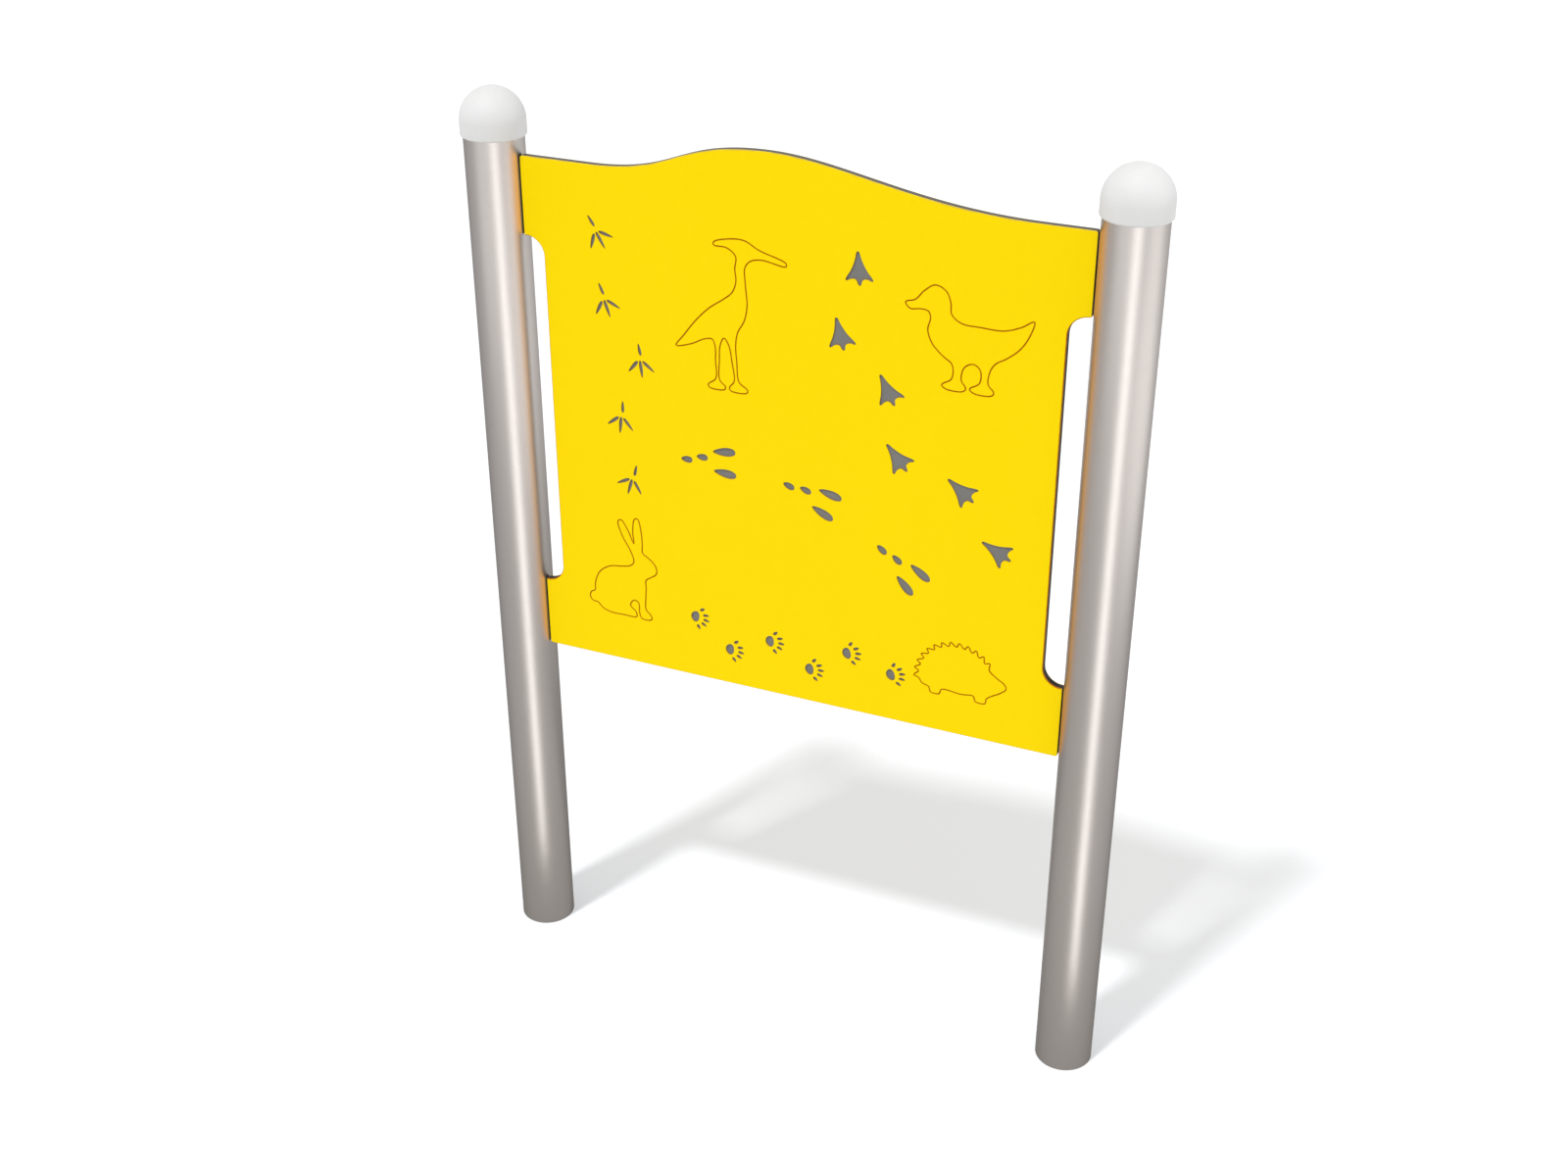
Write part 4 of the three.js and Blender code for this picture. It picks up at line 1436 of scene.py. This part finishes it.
def groove_wall(middle, distance):
    """One wall of a groove, without the points that fold back towards its middle line."""
    wall = moved_left(middle, distance)
    gaps = np.linalg.norm(wall[:, None] - middle[None], axis=2).min(axis=1)
    return wall[gaps > abs(distance) * wall_keep_share]


groove_walls = []
for points, corner, scale in animals:
    middle = smooth_closed(points, curve_steps) * scale + on_sheet(corner)
    middle = anticlockwise(smoothed(evenly(middle, groove_spacing), groove_smoothing))
    groove_walls.append(clockwise(groove_wall(middle, -groove_width / 2)))
    groove_walls.append(anticlockwise(groove_wall(middle, groove_width / 2)))
print("points in the grooves' walls:", [len(line) for line in groove_walls])

# %% [markdown]
# ## The sheet's three layers
#
# The real sheet is one board, pressed from a yellow, a grey and a yellow layer. It could be one
# mesh with a colour for each depth, but each layer has its own finish, so each is its own piece.
# The pockets go right through the front layer to a shallow floor in the grey core, while the
# drawn lines stop inside the yellow. Core and rear layer are drilled for the brass sleeves. Only
# the board's outer edges are rounded, hardly at all beside the posts, where no hand gets in; where
# two layers meet they are flush.

# %% Cut the front layer
edge_round = 1.8 * mm
hidden_round_share = 0.25
edge_steps = 5
pocket_break = 0.2 * mm
groove_break = 0.12 * mm
groove_depth_share = 0.7
pocket_painted_shade = 0.5
groove_painted_shade = 1.0
handhold_painted_shade = 1.0
hand_margin = 2 * mm
front_thickness = core_front_y - front_y


def add_layer(name, stands_for, lines, layer_front_y, slot):
    """Adds one layer of the sheet, whose depths are measured back from its own front face."""
    shape = plate(lines, lambda across, up, depth: Vector((across, layer_front_y + depth, up)))
    add_piece(name, stands_for, shape, slot)
    print(f"{name}: {len(lines)} lines, {len(shape['faces'])} faces")


up = sheet_outline[:, 1]
beside_posts = np.abs(sheet_outline[:, 0]) >= panel_half_width - mm
in_handhold = ~beside_posts & (up > notch_low - hand_margin) & (up < notch_high + hand_margin)
round_shares = np.where(beside_posts, hidden_round_share, 1.0)[:, None]
outline_rings = [(inset * round_shares, depth)
                 for inset, depth in rounded_rings(edge_round, edge_steps, front_thickness)]
pocket_rings = [(pocket_break, 0), (0, pocket_break), (0, front_thickness)]
groove_rings = [(groove_break, 0), (0, groove_break), (0, groove_depth_share * front_thickness)]
# The shares below set how much painted shade each kind of cut gets on its walls and floors.
front_lines = [Line(sheet_outline, outline_rings, soil=in_handhold * handhold_painted_shade)]
front_lines += [Line(line, pocket_rings, soil=pocket_painted_shade) for line in pocket_lines]
front_lines += [Line(line, groove_rings, "front", groove_painted_shade) for line in groove_walls]
add_layer("routed_front_skin", "panel_front_skin", front_lines, front_y, "yellow_sheet")

# %% Mill the core
panel_bolt_run = 78.3 * mm
insert_hole_radius = 6.3 * mm
insert_hole_depth = 10.5 * mm
pocket_floor = 0.45 * mm
hole_steps = 32
core_thickness = core_rear_y - core_front_y
rear_thickness = rear_y - core_rear_y


def hole_line(centre, radius):
    return clockwise(circle(centre, radius, hole_steps))


insert_lines = [hole_line((side * (post_x - panel_bolt_run), height), insert_hole_radius)
                for side in sides.values() for height in bolt_heights]
hole_floor = core_thickness + rear_thickness - insert_hole_depth
core_rings = [(0, 0), (0, pocket_break), (0, core_thickness)]
core_lines = [Line(sheet_outline, core_rings, soil=in_handhold * handhold_painted_shade)]
core_lines += [Line(line, [(0, 0), (0, pocket_floor)], "front") for line in pocket_lines]
core_lines += [Line(line, [(0, hole_floor), (0, core_thickness)], "back") for line in insert_lines]
add_layer("milled_core", "panel_core", core_lines, core_front_y, "grey_core")

# %% Cut the rear layer
rear_rings = [(inset, rear_thickness - depth) for inset, depth in reversed(outline_rings)]
mouth_rings = [(0, 0), (0, rear_thickness - pocket_break), (pocket_break, rear_thickness)]
rear_lines = [Line(sheet_outline, rear_rings), *(Line(line, mouth_rings) for line in insert_lines)]
add_layer("rear_skin", "panel_rear_skin", rear_lines, core_rear_y, "yellow_sheet")

# %% [markdown]
# ## Brackets
#
# Four pressed brackets hold the sheet. Each is a flat blank with rounded corners and four holes,
# bent into a saddle that hugs the post and a flange that lies behind the sheet. A bend modifier
# turns a mesh about one centre only, and this one has two bends in opposite directions. So it is
# made as in a press shop: the flat blank is drawn first, with its length measured along the
# middle of the metal, and then every point is bent round the same three stretches.

# %% Measure the flat blank
bracket_thickness = 4 * mm
bracket_reach = 46 * mm
bracket_bend_round = 6 * mm
bracket_end_turn = math.radians(78)

saddle_radius = post_radius + seat_gap
flange_y = rear_y + seat_gap
bend_centre_y = flange_y + bracket_thickness + bracket_bend_round
bend_reach = saddle_radius + bracket_thickness + bracket_bend_round
bend_centre_x = math.sqrt(bend_reach**2 - bend_centre_y**2)
bend_turn = math.atan2(bend_centre_y, bend_centre_x)
saddle_middle = saddle_radius + bracket_thickness / 2
bend_middle = bracket_bend_round + bracket_thickness / 2
saddle_run = saddle_middle * (bracket_end_turn - bend_turn)
bend_run = bend_middle * (quarter_turn - bend_turn)
flange_run = post_radius + bracket_reach - bend_centre_x
blank_run = saddle_run + bend_run + flange_run
print("the blank is", round(blank_run / mm, 1), "mm long")

# %% Bend a point of the blank
def bent(run, up, depth):
    """Bends a point of the flat blank: run from the saddle's end, depth from the post's side."""
    if run < saddle_run:
        turn = bracket_end_turn - run / saddle_middle
        radius = saddle_radius + depth
        return Vector((radius * math.cos(turn), radius * math.sin(turn), up))
    if run < saddle_run + bend_run:
        turn = math.pi + bend_turn + (run - saddle_run) / bend_middle
        radius = bracket_bend_round + bracket_thickness - depth
        return Vector((bend_centre_x + radius * math.cos(turn), bend_centre_y + radius * math.sin(turn), up))
    return Vector((bend_centre_x + run - saddle_run - bend_run, flange_y + depth, up))


tip = bent(blank_run, 0, 0)
print("the flange's tip lies", round(tip.x / mm, 1), "mm beside the post's axis, at y", round(tip.y, 4))

# %% Draw the blank's outline
bracket_height = 64 * mm
bracket_corner_round = 10 * mm
saddle_corner_round = 2 * mm
blank_spacing = 2.6 * mm
small_corner_steps, large_corner_steps = 5, 12


def blank_outline():
    half, far, near = bracket_height / 2, bracket_corner_round, saddle_corner_round
    quarter, end = quarter_turn, blank_run - bracket_corner_round
    stops = np.arange(near + blank_spacing, end - blank_spacing / 2, blank_spacing)
    return np.vstack((
        arc((near, near - half), near, 2 * quarter, 3 * quarter, small_corner_steps),
        np.column_stack((stops, np.full(len(stops), -half))),
        arc((end, far - half), far, -quarter, 0, large_corner_steps),
        arc((end, half - far), far, 0, quarter, large_corner_steps),
        np.column_stack((stops[::-1], np.full(len(stops), half))),
        arc((near, half - near), near, quarter, 2 * quarter, small_corner_steps),
    ))


print("the blank's outline has", len(blank_outline()), "points")

# %% Shape a bracket
bracket_edge_round = 0.7 * mm
bracket_edge_steps = 3
bolt_hole_radius = 4.5 * mm
grid_rows = 20


def bracket_shape():
    thick, edge = bracket_thickness, bracket_edge_round
    near = rounded_rings(edge, bracket_edge_steps, thick - edge)
    rings = near + [(inset, thick - depth) for inset, depth in near[-3::-1]]
    hole_rings = [(edge / 2, 0), (0, edge / 2), (0, thick - edge / 2), (edge / 2, thick)]
    saddle_hole_run = saddle_middle * (bracket_end_turn - post_bolt_turn)
    flange_hole_run = saddle_run + bend_run + panel_bolt_run - bend_centre_x
    centres = [(run, side * bolt_pitch / 2) for run in (saddle_hole_run, flange_hole_run) for side in (-1, 1)]
    lines = [Line(hole_line(centre, bolt_hole_radius), hole_rings) for centre in centres]
    grid_half = bracket_height / 2 - 2 * blank_spacing
    runs = np.arange(blank_spacing, saddle_run + bend_run + blank_spacing, blank_spacing)
    grid = [(run, up) for run in runs for up in np.linspace(-grid_half, grid_half, grid_rows)
            if min(math.dist((run, up), centre) for centre in centres) > bolt_hole_radius + blank_spacing / 2]
    return plate([Line(blank_outline(), rings), *lines], bent, grid)


bracket = bracket_shape()
print("a bracket has", len(bracket["faces"]), "faces")

# %% Put the four brackets in their places
corners = {}
for level, height in bracket_heights.items():
    for side_name, side in sides.items():
        spot = Matrix.Translation((side * post_x, 0, height))
        # The right-hand bracket is the left-hand one, turned half round about Y
        corners[f"{level}_{side_name}"] = spot if side < 0 else spot @ Matrix.Rotation(math.pi, 4, "Y")
for corner, place in corners.items():
    add_piece(f"pressed_bracket_{corner}", f"bracket_{corner}", bracket, "zinc_steel", place)
print("brackets:", list(corners))

# %% [markdown]
# ## Bolts
#
# Play equipment uses button heads with a pin in the socket, so that only a special key turns
# them. The socket could be cut into a turned head with a boolean, sixteen times over. But a bolt
# is also a stack of rings, as a turned profile is: a flange, a low dome, the rim of a six-sided
# socket, its walls, its floor and the pin. The six-sided rings have their points at the same
# angles as the round ones, so the faces between them join up cleanly.

# %% Stack the rings of a bolt
bolt_sides = 48
bolt_radius = 4 * mm
panel_bolt_length = 13.6 * mm
post_bolt_length = 16.9 * mm
bolt_head_radius = 8.75 * mm
bolt_head_height = 4.4 * mm
bolt_flange = 1.2 * mm
bolt_edge = 0.35 * mm
socket_flats = 5 * mm
socket_depth = 2.6 * mm
pin_radius = 1.1 * mm
pin_height = 2.2 * mm
# The dome's rings, as shares of the head's radius and of the way from the flange to the top
dome_rings = ((0.93, 0.22), (0.83, 0.48), (0.7, 0.72), (0.55, 0.9), (0.42, 0.985))


def bolt_shape(length):
    """A bolt along +Z whose head rests at zero height and whose shank runs down."""
    head, top, cut = bolt_head_radius, bolt_head_height, bolt_edge / 2
    floor_height = top - socket_depth
    profile = [
        (bolt_radius - bolt_edge * 2, -length), (bolt_radius, bolt_edge * 2 - length), (bolt_radius, 0),
        (head - bolt_edge, 0), (head, bolt_edge), (head, bolt_flange - cut),
        *((head * share, bolt_flange + (top - bolt_flange) * rise) for share, rise in dome_rings),
        ((socket_flats + bolt_edge) / 2, top, "six-sided"), (socket_flats / 2, top - cut, "six-sided"),
        (socket_flats / 2, floor_height, "six-sided"), (pin_radius, floor_height),
        (pin_radius, floor_height + pin_height - cut), (pin_radius - cut, floor_height + pin_height),
    ]
    shape = turned(profile, bolt_sides, False)
    points = range(len(shape["vertices"]))
    shape["faces"] += [tuple(points[:bolt_sides])[::-1], tuple(points[-bolt_sides:])]
    return shape


panel_bolt, post_bolt = bolt_shape(panel_bolt_length), bolt_shape(post_bolt_length)
print("a bolt has", len(panel_bolt["faces"]), "faces")

# %% Fit the bolts
post_bolt_seat = saddle_radius + bracket_thickness + seat_gap
panel_bolt_seat = flange_y + bracket_thickness + seat_gap
to_rear = Matrix.Rotation(-quarter_turn, 4, "X")

for corner, place in corners.items():
    for number, rise in enumerate((-bolt_pitch / 2, bolt_pitch / 2), 1):
        tag = f"{corner}_{number}"
        at_panel = Matrix.Translation((panel_bolt_run, panel_bolt_seat, rise)) @ to_rear
        at_post = Matrix.Rotation(post_bolt_turn, 4, "Z") @ Matrix.Translation((post_bolt_seat, 0, rise))
        add_piece(f"button_bolt_panel_{tag}", f"panel_bolt_{tag}", panel_bolt, "bolt_steel", place @ at_panel)
        add_piece(f"button_bolt_post_{tag}", f"post_bolt_{tag}", post_bolt, "bolt_steel",
                  place @ at_post @ to_outside)
print("bolts:", 4 * len(corners))

# %% [markdown]
# ## Pieces that stay as packed
#
# The foot plates close the tubes below, the sleeves sit in the sheet and the blind nuts in the
# tubes, all of them out of sight in use. They could be made again like the bolts, but their packed
# shapes are right already. They keep those and only get their finishes.

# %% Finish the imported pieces
packed_slots = {"foot_plate": "zinc_steel", "blind_nut": "zinc_steel", "panel_insert": "insert_brass"}
kept_as_packed = 0
for node_name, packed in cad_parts.items():
    for family, slot in packed_slots.items():
        if node_name.startswith(family):
            packed.data.materials.clear()
            packed.data.materials.append(finishes[slot])
            kept_as_packed += 1
print("kept as packed:", kept_as_packed, "pieces")

# %% [markdown]
# ## The size before and after
#
# Dressing the sign mustn't change its size. A look at the two models side by side would miss a few
# millimetres, so the highest corners of the imported model's box and of the finished one's are printed
# together.

# %% Print the boxes
boxes = {"cad": cad_bounds, "visual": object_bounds()}
boxes = {name: [list(map(float, corner)) for corner in box] for name, box in boxes.items()}
print("highest corners:", {name: [round(v, 4) for v in box[1]] for name, box in boxes.items()})
